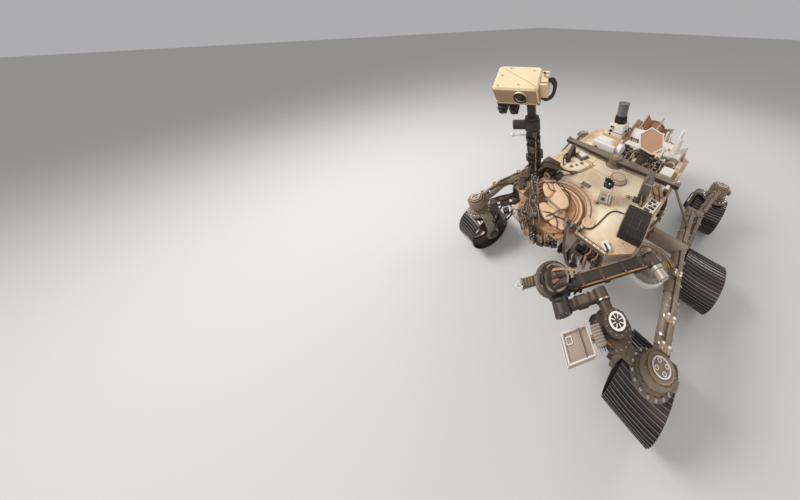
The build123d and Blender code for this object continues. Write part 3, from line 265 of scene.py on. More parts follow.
@dataclass(frozen=True)
class Coat:
    """Painted or bare metal under a coat of red dust.

    The dust lies on what faces the sky, in blown patches and in fine specks.
    """

    paint: Colour
    shade: Colour
    roughness: float
    dust: float
    metallic: float = 0.0
    grain: float = 0.15

    def material(self, name: str) -> bpy.types.Material:
        """Build the node material under a name.

        Args:
            name: Name of the material.

        Returns:
            The material.
        """
        graph = Graph(name)
        broad = graph.noise(3.2, 5.0)
        fine = graph.noise(38.0, 4.0, 0.62)
        specks = graph.noise(170.0, 2.0, 0.5)
        up = graph.upward()
        cover = (up * 0.34 + broad * 0.9 + fine * 0.35 - 0.62 + self.dust * 0.62).clamped()
        lie = cover * self.dust
        body = graph.mix(broad.above(0.52, 0.16) * 0.55, self.paint, self.shade)
        dusty = graph.mix(lie, body, RED_DUST)
        spotted = graph.mix(specks.above(0.66, 0.05) * (0.25 * self.dust), dusty, DARK_SPECK)
        gloss = (self.roughness + lie * (DULL_DUST - self.roughness) + fine * 0.12 - 0.06).clamped()
        height = fine * 0.5 + specks * 0.5
        return graph.surface({
            "Base Color": spotted,
            "Metallic": (self.metallic - lie * self.metallic).clamped(),
            "Roughness": gloss,
            "Normal": graph.bump(height, self.grain, 0.002),
        })


@dataclass(frozen=True)
class DeckCoat(Coat):
    """Cream deck paint that turns red-brown along the edges, round the bay, at the nose and at the rear,
    with painted shade in the same brown on its steep faces.
    """

    bay: Point = (0.812, -0.118, 1.1)
    bay_radius: float = 0.36
    # Red-brown of the edges and the bay's rim, also used as painted shade on steep faces.
    rust: Colour = (0.4, 0.185, 0.075)
    speck: Colour = (0.22, 0.12, 0.07)

    def material(self, name: str) -> bpy.types.Material:
        """Build the node material under a name.

        Args:
            name: Name of the material.

        Returns:
            The material.
        """
        graph = Graph(name)
        broad = graph.noise(2.6, 5.0, 0.6)
        fine = graph.noise(30.0, 4.0, 0.62)
        specks = graph.noise(150.0, 2.0, 0.5)
        point = graph.place()
        apart = graph.node("ShaderNodeSeparateXYZ", None, {0: point})
        ahead, aside = graph.field(apart, "X"), graph.field(apart, "Y")
        away = graph.field(graph.node("ShaderNodeVectorMath", {"operation": "DISTANCE"},
            {0: point, 1: self.bay}), "Value")
        gap = away - self.bay_radius
        ring = (1.0 - gap * gap * 170.0).clamped()
        sides = (aside * aside * 4.2 - 0.92).clamped()
        nose = (ahead * 1.7 - 1.0).clamped()
        rear = (ahead * -1.1 - 0.25).clamped()
        share = (ring * 0.8 + sides * 1.1 + nose * 0.6 + rear * 0.5 + (broad - 0.47) * 2.6
            + (fine - 0.5) * 0.5).clamped()
        # Faces that do not point up get painted shade: the side faces are browned as if turned from the
        # light.
        painted_side_shade = (1.0 - graph.upward()).clamped()
        body = graph.mix(broad.above(0.5, 0.14) * 0.4, self.paint, self.shade)
        # Mix toward red-brown by the edge and bay share, plus painted shade on the steep faces.
        dusty = graph.mix((share * 0.66 + painted_side_shade * 0.35).clamped(), body, self.rust)
        spotted = graph.mix(specks.above(0.66, 0.05) * 0.12, dusty, self.speck)
        return graph.surface({
            "Base Color": spotted,
            "Roughness": (fine * 0.2 + share * 0.2 + 0.35).clamped(),
            "Normal": graph.bump(fine * 0.5 + specks * 0.5, self.grain, 0.002),
        })


class Finish(Enum):
    """Finishes: first those of the record's slots, then the trim's own."""

    wheel_metal = Coat((0.05, 0.045, 0.048), (0.08, 0.068, 0.066), 0.3, 0.14, 0.85)
    spoke_metal = Coat((0.26, 0.22, 0.18), (0.15, 0.12, 0.09), 0.38, 0.3, 0.8)
    dark_anodised = Coat((0.05, 0.042, 0.036), (0.1, 0.075, 0.055), 0.45, 0.2, 0.3)
    grey_paint = Coat((0.255, 0.222, 0.17), (0.15, 0.12, 0.085), 0.5, 0.25)
    tube_grey = Coat((0.26, 0.218, 0.155), (0.155, 0.122, 0.08), 0.5, 0.26, 0.1)
    body_white = Coat((0.7, 0.6, 0.47), (0.52, 0.38, 0.25), 0.45, 0.35)
    # Deck paint: red-brown along its edges and round the bay, with painted shade on its steep faces.
    deck_white = DeckCoat((0.94, 0.8, 0.58), (0.84, 0.56, 0.31), 0.4, 0.35)
    beige_paint = Coat((0.2, 0.17, 0.115), (0.115, 0.09, 0.058), 0.5, 0.2)
    dark_metal = Coat((0.036, 0.027, 0.021), (0.085, 0.055, 0.036), 0.5, 0.12, 0.2)
    dish_paint = Coat((0.6, 0.34, 0.21), (0.52, 0.28, 0.165), 0.6, 0.2)
    fin_paint = Coat((0.36, 0.18, 0.09), (0.24, 0.12, 0.06), 0.55, 0.4)
    panel_white = Coat((0.82, 0.79, 0.74), (0.68, 0.6, 0.5), 0.45, 0.18)
    black_housing = Coat((0.01, 0.008, 0.007), (0.026, 0.018, 0.013), 0.6, 0.04)
    # Brown floor of the round bay: its own tone, darkened with painted shade of the recess.
    bay_floor = Coat((0.5, 0.27, 0.13), (0.32, 0.165, 0.075), 0.5, 0.2)
    seam_brown = Coat((0.2, 0.11, 0.06), (0.12, 0.065, 0.035), 0.6, 0.3)
    antenna_grey = Coat((0.16, 0.17, 0.17), (0.12, 0.115, 0.105), 0.45, 0.12, 0.1)
    # Lighter metal on lug tops and rim edges: painted highlight where edges catch the light.
    lug_edge = Coat((0.42, 0.37, 0.33), (0.22, 0.19, 0.17), 0.32, 0.1, 0.85)
    bolt_steel = Coat((0.5, 0.46, 0.4), (0.3, 0.26, 0.21), 0.3, 0.15, 0.9)
    bare_silver = Coat((0.72, 0.7, 0.67), (0.55, 0.5, 0.45), 0.22, 0.1, 0.9)
    gold_wire = Coat((0.58, 0.36, 0.15), (0.38, 0.22, 0.09), 0.4, 0.2, 0.4)
    cable_dark = Coat((0.022, 0.017, 0.014), (0.055, 0.038, 0.028), 0.6, 0.12)
    cable_tan = Coat((0.36, 0.25, 0.15), (0.22, 0.145, 0.085), 0.6, 0.3)
    white_trim = Coat((0.86, 0.83, 0.78), (0.72, 0.66, 0.57), 0.4, 0.12)
    peach_cover = Coat((0.84, 0.6, 0.38), (0.58, 0.35, 0.19), 0.5, 0.3)
    band_dark = Coat((0.014, 0.011, 0.009), (0.036, 0.026, 0.018), 0.55, 0.06)
    lens_glass = Coat((0.012, 0.011, 0.012), (0.02, 0.017, 0.016), 0.08, 0.06, grain=0.02)
    # Pale brown of the head's front and side plates: painted shade, darker than the lit cream top.
    head_face = Coat((0.42, 0.28, 0.17), (0.28, 0.18, 0.1), 0.5, 0.3)
    pillar_grey = Coat((0.155, 0.15, 0.135), (0.09, 0.08, 0.065), 0.5, 0.15)
    gold_panel = Coat((0.44, 0.3, 0.16), (0.3, 0.19, 0.1), 0.5, 0.3, 0.2)
    yellow_cover = Coat((0.62, 0.46, 0.18), (0.46, 0.32, 0.13), 0.5, 0.25)
    turret_skin = Coat((0.42, 0.33, 0.28), (0.25, 0.18, 0.14), 0.5, 0.25)
    # Dark brown metal. On the turret's hub and tools its darkness is also painted shadow, as the turret
    # lies in the rover's shadow.
    turret_metal = Coat((0.092, 0.071, 0.053), (0.056, 0.04, 0.028), 0.48, 0.14, 0.2)
    head_cream = Coat((0.88, 0.73, 0.46), (0.78, 0.58, 0.33), 0.42, 0.15)
    shoulder_silver = Coat((0.5, 0.45, 0.38), (0.34, 0.28, 0.22), 0.4, 0.15, 0.4)
    olive_cover = Coat((0.085, 0.072, 0.048), (0.13, 0.095, 0.06), 0.55, 0.22, 0.1)


DARK_TAN = (Finish.cable_dark, Finish.cable_tan)
DARK_TAN_METAL = (Finish.cable_dark, Finish.cable_tan, Finish.dark_metal)
DARK_TAN_GOLD = (Finish.cable_dark, Finish.cable_tan, Finish.gold_wire)
DARK_METAL_TAN = (Finish.cable_dark, Finish.dark_metal, Finish.cable_tan)
GOLD_TAN = (Finish.gold_wire, Finish.cable_tan)
OWN_FINISH: dict[str, Finish] = {
    # Bay floor in brown with painted shade of the recess.
    "bay_cover": Finish.bay_floor,
    "drum_antenna": Finish.antenna_grey,
    "arm_base": Finish.panel_white,
    "rear_equipment": Finish.panel_white,
    "arm_shoulder": Finish.shoulder_silver,
    "dish_base": Finish.turret_metal,
    "dish_yoke": Finish.turret_metal,
    "mast_head": Finish.head_cream,
    "mast_booms": Finish.white_trim,
    "turret_framed_box": Finish.turret_skin,
    # Turret hub and tools darkened: painted shadow of the rover over the turret.
    "turret_hub": Finish.turret_metal,
    "turret_tools": Finish.turret_metal,
    "front_hoop": Finish.dark_metal,
    "hazard_cameras": Finish.dark_metal,
    "power_cradle": Finish.turret_metal,
}
MATERIALS: dict[Finish, bpy.types.Material] = {}


def dress_solids(frame: Frame) -> None:
    """Give each carried-over solid the finish of its slot.
    """
    for finish in Finish:
        MATERIALS[finish] = finish.value.material(finish.name)
    for row in frame["record"]["subparts"]:
        solid = frame["nodes"][row["node"]]
        solid.data.materials.clear()
        finish = OWN_FINISH.get(row["node"], Finish[row["material_slot"]])
        solid.data.materials.append(MATERIALS[finish])


def rise(height: float) -> Vector:
    """Step straight up."""
    return Vector((0, 0, height))


def heading(turn_deg: float, reach: float = 1.0) -> Vector:
    """Level step of a length, at an angle from straight ahead."""
    turn = math.radians(turn_deg)
    return Vector((reach * math.cos(turn), reach * math.sin(turn), 0))


def spun(turn_deg: float, axis: str = "Z") -> Matrix:
    """Turn about one axis."""
    return Matrix.Rotation(math.radians(turn_deg), 4, axis)


def joint_of(frame: Frame, name: str) -> dict[str, object]:
    """One joint of the frame, by its name."""
    return next(joint for joint in frame["joints"] if joint["name"] == name)


def toward(start: Point, along: Point) -> Matrix:
    """Frame at a point whose Z looks along a direction."""
    turn = Vector(along).to_track_quat("Z", "Y").to_matrix().to_4x4()
    return Matrix.Translation(start) @ turn


def smooth_route(points: Sequence[Point], steps: int = 6) -> list[Vector]:
    """Curve through the given points.

    Args:
        points: Points that the curve passes.
        steps: Stations between two points.

    Returns:
        The stations.
    """
    ends = [Vector(p) for p in points]
    padded = [ends[0] * 2 - ends[1]] + ends + [ends[-1] * 2 - ends[-2]]
    route = []
    for index in range(1, len(padded) - 2):
        before, first, second, after = padded[index - 1:index + 3]
        for step in range(steps):
            t = step / steps
            route.append(0.5 * (2 * first + (second - before) * t
                + (2 * before - 5 * first + 4 * second - after) * t * t
                + (3 * first - before - 3 * second + after) * t ** 3))
    route.append(ends[-1])
    return route


def closed_route(corners: Outline, steps: int = 6) -> list[tuple[float, float]]:
    """Smooth closed outline through flat corners.

    Args:
        corners: Corners in order.
        steps: Stations between two corners.

    Returns:
        The outline's points.
    """
    looped = list(corners[-2:]) + list(corners) + list(corners[:2])
    route = smooth_route([(x, y, 0.0) for x, y in looped], steps)
    return [(spot.x, spot.y) for spot in route[2 * steps:(len(corners) + 2) * steps]]


class Form:
    """One piece in the making: its points, its faces and each face's finish."""

    def __init__(self, name: str, place: Matrix | None = None) -> None:
        """Start an empty piece.

        Args:
            name: The piece's name.
            place: Frame that its parts are given in.
        """
        self.name = name
        self.place = place or Matrix.Identity(4)
        self.points: list[Vector] = []
        self.faces: list[list[int]] = []
        self.finishes: list[Finish] = []

    def add(self, points: Sequence[Point], faces: Sequence[Sequence[int]], finish: Finish,
            place: Matrix | None = None) -> None:
        """Take over points and faces.

        Args:
            points: Corners in the part's frame.
            faces: Corners of each face, as places in points.
            finish: Finish of the faces.
            place: Frame of the points inside the piece.
        """
        first = len(self.points)
        whole = self.place @ place if place else self.place
        self.points += [whole @ Vector(p) for p in points]
        self.faces += [[first + corner for corner in face] for face in faces]
        self.finishes += [finish] * len(faces)

    def block(self, centre: Point, size: Point, finish: Finish, turn: Matrix | None = None,
            bevel: float = 0.004) -> None:
        """Box with bevelled edges.

        Args:
            centre: Middle of the box.
            size: Its three lengths.
            finish: Finish of the faces.
            turn: Rotation about the middle.
            bevel: Width of the cut edges.
        """
        half = [value / 2 for value in size]
        cut = min(bevel, min(half) * 0.6)
        points, at = [], {}
        for signs in product((-1, 1), repeat=3):
            for axis in range(3):
                at[signs, axis] = len(points)
                points.append([signs[k] * (half[k] - (0 if k == axis else cut)) for k in range(3)])
        faces = []
        for axis in range(3):
            a, b = (axis + 1) % 3, (axis + 2) % 3
            for low in (-1, 1):
                ring = []
                for sign_a, sign_b in ((-1, -1), (1, -1), (1, 1), (-1, 1)):
                    signs = [0, 0, 0]
                    signs[axis], signs[a], signs[b] = low, sign_a, sign_b
                    ring.append(at[tuple(signs), axis])
                faces.append(ring)
            for sign_a, sign_b in product((-1, 1), repeat=2):
                ends = []
                for end in (-1, 1):
                    signs = [0, 0, 0]
                    signs[axis], signs[a], signs[b] = end, sign_a, sign_b
                    ends.append(tuple(signs))
                faces.append([at[ends[0], a], at[ends[1], a], at[ends[1], b], at[ends[0], b]])
        faces += [[at[signs, 0], at[signs, 1], at[signs, 2]] for signs in product((-1, 1), repeat=3)]
        frame = Matrix.Translation(centre) @ (turn or Matrix.Identity(4))
        self.add(points, faces, finish, frame)

    def lathe(self, profile: Outline, finish: Finish, start: Point = (0, 0, 0), along: Point = UP,
            sides: int = 32, closed: bool = False) -> None:
        """Turned shape about a line.

        Args:
            profile: Radius and height of each corner.
            finish: Finish of the faces.
            start: Point where the height is zero.
            along: Direction of the line.
            sides: Facets round the line.
            closed: Whether the last corner joins the first.
        """
        points, rings = [], []
        for radius, height in profile:
            if radius < 1e-6:
                rings.append([len(points)] * sides)
                points.append((0, 0, height))
                continue
            rings.append(list(range(len(points), len(points) + sides)))
            for index in range(sides):
                turn = 2 * math.pi * index / sides
                points.append((radius * math.cos(turn), radius * math.sin(turn), height))
        faces = []
        pairs = list(zip(rings, rings[1:]))
        if closed:
            pairs.append((rings[-1], rings[0]))
        for low, high in pairs:
            for index in range(sides):
                after = (index + 1) % sides
                corners = [low[index], low[after], high[after], high[index]]
                face = list(dict.fromkeys(corners))
                if len(face) > 2:
                    faces.append(face)
        self.add(points, faces, finish, toward(start, along))

    def rod(self, start: Point, end: Point, radius: float, finish: Finish, sides: int = 24,
            bevel: float = 0.002, end_radius: float | None = None) -> None:
        """Round bar with bevelled ends, straight or tapered.

        Args:
            start: Middle of the first end.
            end: Middle of the other end.
            radius: Radius at the start.
            finish: Finish of the faces.
            sides: Facets round the bar.
            bevel: Width of the cut edges.
            end_radius: Radius at the end, where it differs.
        """
        line = Vector(end) - Vector(start)
        last = radius if end_radius is None else end_radius
        cut = min(bevel, radius * 0.5, line.length * 0.4)
        self.lathe([(0, 0), (radius - cut, 0), (radius, cut), (last, line.length - cut),
            (last - cut, line.length), (0, line.length)], finish, start, line, sides)

    def ring(self, centre: Point, outer: float, inner: float, height: float, finish: Finish,
            along: Point = UP, sides: int = 48) -> None:
        """Flat ring that rises from a point along a direction.

        Args:
            centre: Middle of the lower face.
            outer: Outer radius.
            inner: Radius of the hole.
            height: How far it rises.
            finish: Finish of the faces.
            along: Direction of the rise.
            sides: Facets round the ring.
        """
        cut = min(0.0015, height * 0.4)
        self.lathe([(inner, 0), (outer, 0), (outer, height - cut), (outer - cut, height),
            (inner + cut, height), (inner, height - cut)], finish, centre, along, sides, closed=True)

    def sweep(self, route: Sequence[Vector], section: Outline, finish: Finish,
            up: Point | None = None) -> None:
        """Section drawn along a route.

        Args:
            route: Stations in order.
            section: Corners of the section, across and up.
            finish: Finish of the faces.
            up: Direction that the section's second number follows, or None to let it roll freely.
        """
        points, count = [], len(section)
        lift = Vector(up) if up else None
        for index, station in enumerate(route):
            ahead = (route[min(index + 1, len(route) - 1)] - route[max(index - 1, 0)]).normalized()
            if lift is None:
                lift = ahead.orthogonal()
            across = ahead.cross(lift).normalized()
            raised = across.cross(ahead).normalized()
            if up is None:
                lift = raised
            points += [station + across * u + raised * v for u, v in section]
        faces = []
        for index in range(len(route) - 1):
            base = index * count
            for corner in range(count):
                after = (corner + 1) % count
                faces.append([base + corner, base + after, base + count + after, base + count + corner])
        faces.append(list(range(count)))
        faces.append([len(points) - count + corner for corner in range(count)])
        self.add(points, faces, finish)

    def tube(self, points: Sequence[Point], radius: float, finish: Finish, sides: int = 8,
            steps: int = 6) -> None:
        """Round cable or pipe on a smooth curve through the points.

        Args:
            points: Points on its middle line.
            radius: Its radius.
            finish: Finish of the faces.
            sides: Facets round the line.
            steps: Stations between two points.
        """
        section = [(radius * math.cos(2 * math.pi * k / sides), radius * math.sin(2 * math.pi * k / sides))
            for k in range(sides)]
        self.sweep(smooth_route(points, steps), section, finish)

    def strap(self, points: Sequence[Point], width: float, thickness: float, finish: Finish, up: Point = UP,
            steps: int = 6) -> None:
        """Flat strip with rounded edges on a smooth curve through the points.

        Args:
            points: Points on its middle line.
            width: Its width.
            thickness: Its thickness.
            finish: Finish of the faces.
            up: Direction that its flat side faces.
            steps: Stations between two points, or 0 for straight runs.
        """
        w, t = width / 2, thickness / 2
        section = [(-w + t, -t), (w - t, -t), (w, 0), (w - t, t), (-w + t, t), (-w, 0)]
        self.sweep(smooth_route(points, steps) if steps else [Vector(p) for p in points], section, finish,
            up)

    def slab(self, outline: Outline, low: float, high: float, finish: Finish, edge: float = 0.006) -> None:
        """Flat piece with a rounded upper edge.

        Args:
            outline: Corners seen from above, in order.
            low: Height of the underside.
            high: Height of the top.
            finish: Finish of the faces.
            edge: Radius of the upper edge.
        """
        count = len(outline)
        turned = sum(ax * by - bx * ay for (ax, ay), (bx, by) in zip(outline, outline[1:] + outline[:1]))
        sign = 1 if turned > 0 else -1
        inwards = []
        for index in range(count):
            line = Vector(outline[(index + 1) % count]) - Vector(outline[index - 1])
            inwards.append(Vector((-line.y, line.x)).normalized() * sign)
        points = []
        for height, inset in ((low, 0), (high - edge, 0), (high - edge * 0.3, edge * 0.3), (high, edge)):
            points += [(x + inward.x * inset, y + inward.y * inset, height)
                for (x, y), inward in zip(outline, inwards)]
        faces = [list(range(3 * count, 4 * count)), list(range(count))]
        for ring, index in product(range(3), range(count)):
            after = (index + 1) % count
            faces.append([ring * count + index, ring * count + after, (ring + 1) * count + after,
                (ring + 1) * count + index])
        self.add(points, faces, finish)

    def bolts(self, centre: Point, circle: float, count: int, size: float, along: Point = UP,
            finish: Finish = Finish.bolt_steel, start_deg: float = 0.0) -> None:
        """Hexagon heads on a circle, each standing out along a direction.

        Args:
            centre: Middle of the circle.
            circle: Its radius.
            count: Number of heads.
            size: Radius and height of a head.
            along: Direction that the heads stand out.
            finish: Finish of the faces.
            start_deg: Angle of the first head.
        """
        frame = toward(centre, along)
        for index in range(count):
            foot = frame @ heading(start_deg + 360 * index / count, circle)
            self.head(foot, size, along, finish)

    def head(self, foot: Point, size: float, along: Point = UP, finish: Finish = Finish.bolt_steel) -> None:
        """Washer and hexagon head of one bolt."""
        self.lathe([(size * 1.25, 0), (size * 1.25, size * 0.22), (size, size * 0.24), (size, size * 0.85),
            (size * 0.82, size), (0, size)], finish, foot, along, 6)

    def settle(self, body: str, slot: str, *replaced: str) -> None:
        """Make the object and let it ride.

        Args:
            body: Body that carries the piece.
            slot: Record's material slot of the piece; not used.
            replaced: CAD nodes that it stands for.
        """
        used = list(dict.fromkeys(self.finishes))
        mesh = bpy.data.meshes.new(self.name)
        mesh.from_pydata(self.points, [], self.faces)
        for face, finish in zip(mesh.polygons, self.finishes):
            face.material_index = used.index(finish)
            face.use_smooth = True
        built = bmesh.new()
        built.from_mesh(mesh)
        bmesh.ops.recalc_face_normals(built, faces=built.faces)
        built.to_mesh(mesh)
        built.free()
        mesh.set_sharp_from_angle(angle=math.radians(SHARP_DEG))
        for finish in used:
            mesh.materials.append(MATERIALS[finish])
        piece = bpy.data.objects.new(self.name, mesh)
        bpy.context.scene.collection.objects.link(piece)
        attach(piece, body)
        if replaced:
            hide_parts(*replaced)
        log.info("%s: %d faces on %s", self.name, len(self.faces), body)


@dataclass
class Wheel:
    """One wheel: crowned skin with curved lugs, and the screws of its hub."""

    name: str
    centre: Vector
    side: int
    radius: float = 0.2625
    lug_height: float = 0.0075
    width: float = 0.33
    lugs: int = 48
    bow: float = 0.05
    skin: float = 0.006
    rim: float = 0.015
    hub_face: float = 0.052
    hub_circle: float = 0.066
    cap_face: float = 0.074

    def frame(self) -> Matrix:
        """Frame at the wheel's middle whose Z points outboard."""
        return toward(self.centre, (0, self.side, 0))

    def tread(self) -> None:
        """Make the skin with its rolled rims and 48 gently bowed lugs, whose tops carry a painted
        highlight.
        """
        form = Form(f"wheel_skin_{self.name}", self.frame())
        root = self.radius - self.lug_height
        half = self.width / 2
        inner = root - self.skin
        form.lathe([(root, -half), (root + 0.0006, -half / 2), (root + 0.0008, 0),
            (root + 0.0006, half / 2), (root, half), (inner - 0.002, half),
            (inner - 0.002, half - self.rim), (inner, half - self.rim - 0.002),
            (inner, -half + self.rim + 0.002), (inner - 0.002, -half + self.rim), (inner - 0.002, -half)],
            Finish.wheel_metal, sides=96, closed=True)
        stations = 8
        for lug in range(self.lugs):
            base = 2 * math.pi * lug / self.lugs
            points = []
            for station in range(stations + 1):
                height = -half + self.width * station / stations
                turn = base + self.bow * (1 - (height / half) ** 2)
                for radius, offset in ((root - 0.001, -0.0044), (self.radius, -0.0024),
                        (self.radius, 0.0024), (root - 0.001, 0.0044)):
                    angle = turn + offset / radius
                    points.append((radius * math.cos(angle), radius * math.sin(angle), height))
            flanks, tops = [], []
            for station in range(stations):
                for corner in range(3):
                    at = station * 4 + corner
                    (tops if corner == 1 else flanks).append([at, at + 1, at + 5, at + 4])
            last = stations * 4
            flanks += [[0, 1, 2, 3], [last, last + 1, last + 2, last + 3]]
            form.add(points, flanks, Finish.wheel_metal)
            # Lug tops in the lighter finish: painted highlight on the tread.
            form.add(points, tops, Finish.lug_edge)
        form.settle(f"wheel_{self.name}", "wheel_metal", f"tyre_{self.name}")

    def screws(self) -> None:
        """Put the screws on the hub disc and cap."""
        form = Form(f"hub_screws_{self.name}", self.frame())
        form.bolts((0, 0, self.hub_face), self.hub_circle, 6, 0.007, start_deg=30)
        form.bolts((0, 0, self.cap_face), 0.024, 8, 0.0032)
        form.ring((0, 0, self.cap_face), 0.016, 0.009, 0.004, Finish.bare_silver, sides=32)
        form.settle(f"wheel_{self.name}", "spoke_metal")

    def build(self) -> None:
        """Build the wheel."""
        self.tread()
        self.screws()


@dataclass
class SteeringDrum:
    """Trim of one steering drum: white ring, screws of the flanges, connector and cable."""

    name: str
    axle: Vector
    side: int
    ring_top: float = 0.605
    cap_top: float = 0.789
    collar_low: float = 0.663
    collar_high: float = 0.753
    plate_top: float = 0.581
    plate_circle: float = 0.1175
    leg_face: float = 0.213
    axle_z: float = 0.2625

    def drum(self) -> None:
        """Trim of what stands still."""
        x, y, top = self.axle.x, self.axle.y, self.cap_top
        form = Form(f"drum_trim_{self.name}")
        form.ring((x, y, top - 0.001), 0.053, 0.045, 0.005, Finish.white_trim)
        form.ring((x, y, top - 0.016), 0.0745, 0.066, 0.006, Finish.cable_tan)
        for dx, dy in product((-1, 1), repeat=2):
            form.ring((x + dx * 0.022, y + dy * 0.022, top + 0.0078), 0.0125, 0.0085, 0.0015,
                Finish.white_trim, sides=24)
        form.bolts((x, y, self.ring_top), 0.092, 20, 0.0052)
        form.bolts((x, y, self.collar_high), 0.083, 14, 0.0045)
        out = Vector((0, self.side, 0))
        mid = (self.collar_low + self.collar_high) / 2
        form.block((x, y + self.side * 0.103, mid), (0.06, 0.024, 0.05), Finish.grey_paint)
        for dx in (-0.019, 0.019):
            form.head(Vector((x + dx, y + self.side * 0.115, mid)), 0.0045, out)
        form.settle("chassis", "grey_paint")

    def bracket(self) -> None:
        """Screws, ribs and the drive's cable on the bracket that turns with the wheel."""
        x, y = self.axle.x, self.axle.y
        inboard = -self.side
        form = Form(f"bracket_trim_{self.name}")
        top = self.plate_top
        for index in range(16):
            spot = Vector((x, y, top)) + heading(360 * (index + 0.5) / 16, self.plate_circle)
            form.lathe([(0.0125, -0.001), (0.0125, 0.004), (0.009, 0.009), (0, 0.0105)], Finish.bare_silver,
                spot, sides=14)
        # Thin light ring on the plate's rim: painted highlight.
        form.ring((x, y, top), 0.1315, 0.1275, 0.0025, Finish.lug_edge, sides=64)
        for step in range(2):
            across = y + inboard * (0.15 + 0.028 * step)
            for dx in (-0.038, 0.038):
                form.head(Vector((x + dx, across, top)), 0.005)
        face = y + inboard * self.leg_face
        for height in (0.36, 0.41, 0.46, 0.51):
            for dx in (-0.038, 0.038):
                form.head(Vector((x + dx, face, height)), 0.005, (0, inboard, 0))
        form.bolts((x, face, self.axle_z), 0.064, 12, 0.0048, (0, inboard, 0))
        form.tube([(x - 0.03, face + inboard * 0.001, 0.5), (x - 0.045, face + inboard * 0.018, 0.44),
            (x - 0.03, face + inboard * 0.022, 0.38), (x, face + inboard * 0.03, 0.32),
            (x, face + inboard * 0.02, 0.28)], 0.007, Finish.cable_dark)
        form.settle(f"steering_{self.name}", "grey_paint")

    def build(self) -> None:
        """Build the trim."""
        self.drum()
        self.bracket()


@dataclass
class SideHarness:
    """Flat wiring harness with clamps along one side's rocker and bogie, and the screws of their hubs."""

    name: str
    side: int
    tube: float = 0.042
    bogie_tube: float = 0.034
    width: float = 0.046
    thickness: float = 0.02

    def run(self, form: Form, points: Sequence[Point], radius: float, clamps: Sequence[float]) -> None:
        """Lay one run of harness over a tube and clamp it.

        Args:
            form: Piece that takes the run.
            points: Points on the tube's axis.
            radius: The tube's radius.
            clamps: Places of the clamps as shares of the run.
        """
        lift = Vector((0, self.side * 0.55, 0.84)).normalized()
        offset = lift * (radius + self.thickness / 2)
        route = [Vector(p) + offset for p in points]
        form.strap(route, self.width, self.thickness, Finish.tube_grey, up=lift)
        for edge in (-1, 1):
            shift = Vector((0, -lift.z, lift.y)) * (self.width * 0.52 * edge)
            form.tube([Vector(p) + offset * 0.94 + shift for p in points], 0.0045, Finish.cable_dark, 6)
        beside = Vector((0, self.side * 0.98, -0.1)).normalized() * (radius + 0.007)
        form.tube([Vector(p) + beside for p in points], 0.006, Finish.cable_dark, 6)
        curve = smooth_route(points, 12)
        for share in clamps:
            index = min(int(share * (len(curve) - 1)), len(curve) - 2)
            centre = curve[index]
            ahead = (curve[index + 1] - centre).normalized()
            form.ring(centre - ahead * 0.008, radius + 0.0035, radius - 0.001, 0.016, Finish.bolt_steel,
                ahead, 24)
            place = centre + offset + lift * self.thickness * 0.5
            across = ahead.cross(lift).normalized()
            form.strap([place - across * self.width * 0.6, place + across * self.width * 0.6], 0.018, 0.003,
                Finish.bolt_steel, up=lift, steps=0)
            for end in (-1, 1):
                form.head(place + across * self.width * 0.42 * end, 0.0042, lift, Finish.bare_silver)

    def build(self) -> None:
        """Build both runs."""
        s = self.side
        form = Form(f"harness_{self.name}")
        self.run(form, [(0.2, s * 0.901, 0.8), (0.45, s * 0.937, 0.8), (0.7, s * 0.973, 0.8),
            (0.8, s * 0.99, 0.796), (0.94, s * 1.02, 0.745), (1.03, s * 1.04, 0.728)], self.tube,
            (0.14, 0.3, 0.44, 0.56, 0.66, 0.8, 0.93))
        self.run(form, [(0.14, s * 0.902, 0.777), (-0.15, s * 0.893, 0.704), (-0.4, s * 0.889, 0.642),
            (-0.5, s * 0.888, 0.617)], self.tube, (0.2, 0.5, 0.8))
        self.run(form, [(-0.62, s * 0.985, 0.612), (-0.75, s * 1.0, 0.66), (-0.88, s * 1.02, 0.7),
            (-0.98, s * 1.035, 0.722)], self.bogie_tube, (0.25, 0.6, 0.9))
        self.run(form, [(-0.5, s * 0.975, 0.59), (-0.3, s * 0.975, 0.54), (-0.1, s * 0.975, 0.48)],
            self.bogie_tube, (0.2, 0.5, 0.85))
        for x, y, z, tall in ((0.86, 1.01, 0.845, 0.03), (1.015, 1.045, 0.79, 0.026),
                (0.52, 0.955, 0.868, 0.02)):
            form.block((x, s * y, z), (0.05, 0.064, tall), Finish.gold_panel)
            for dx, dy in product((-0.014, 0.014), (-0.018, 0.018)):
                form.rod((x + dx, s * y + dy, z + tall / 2), (x + dx, s * y + dy, z + tall / 2 + 0.014),
                    0.009, (Finish.white_trim, Finish.bare_silver)[dx > 0], 14)
        form.bolts((0.23, s * 0.954, 0.8), 0.058, 14, 0.0055, (0, s, 0))
        form.ring((0.23, s * 0.954, 0.8), 0.04, 0.028, 0.006, Finish.white_trim, (0, s, 0))
        form.settle("chassis", "tube_grey")


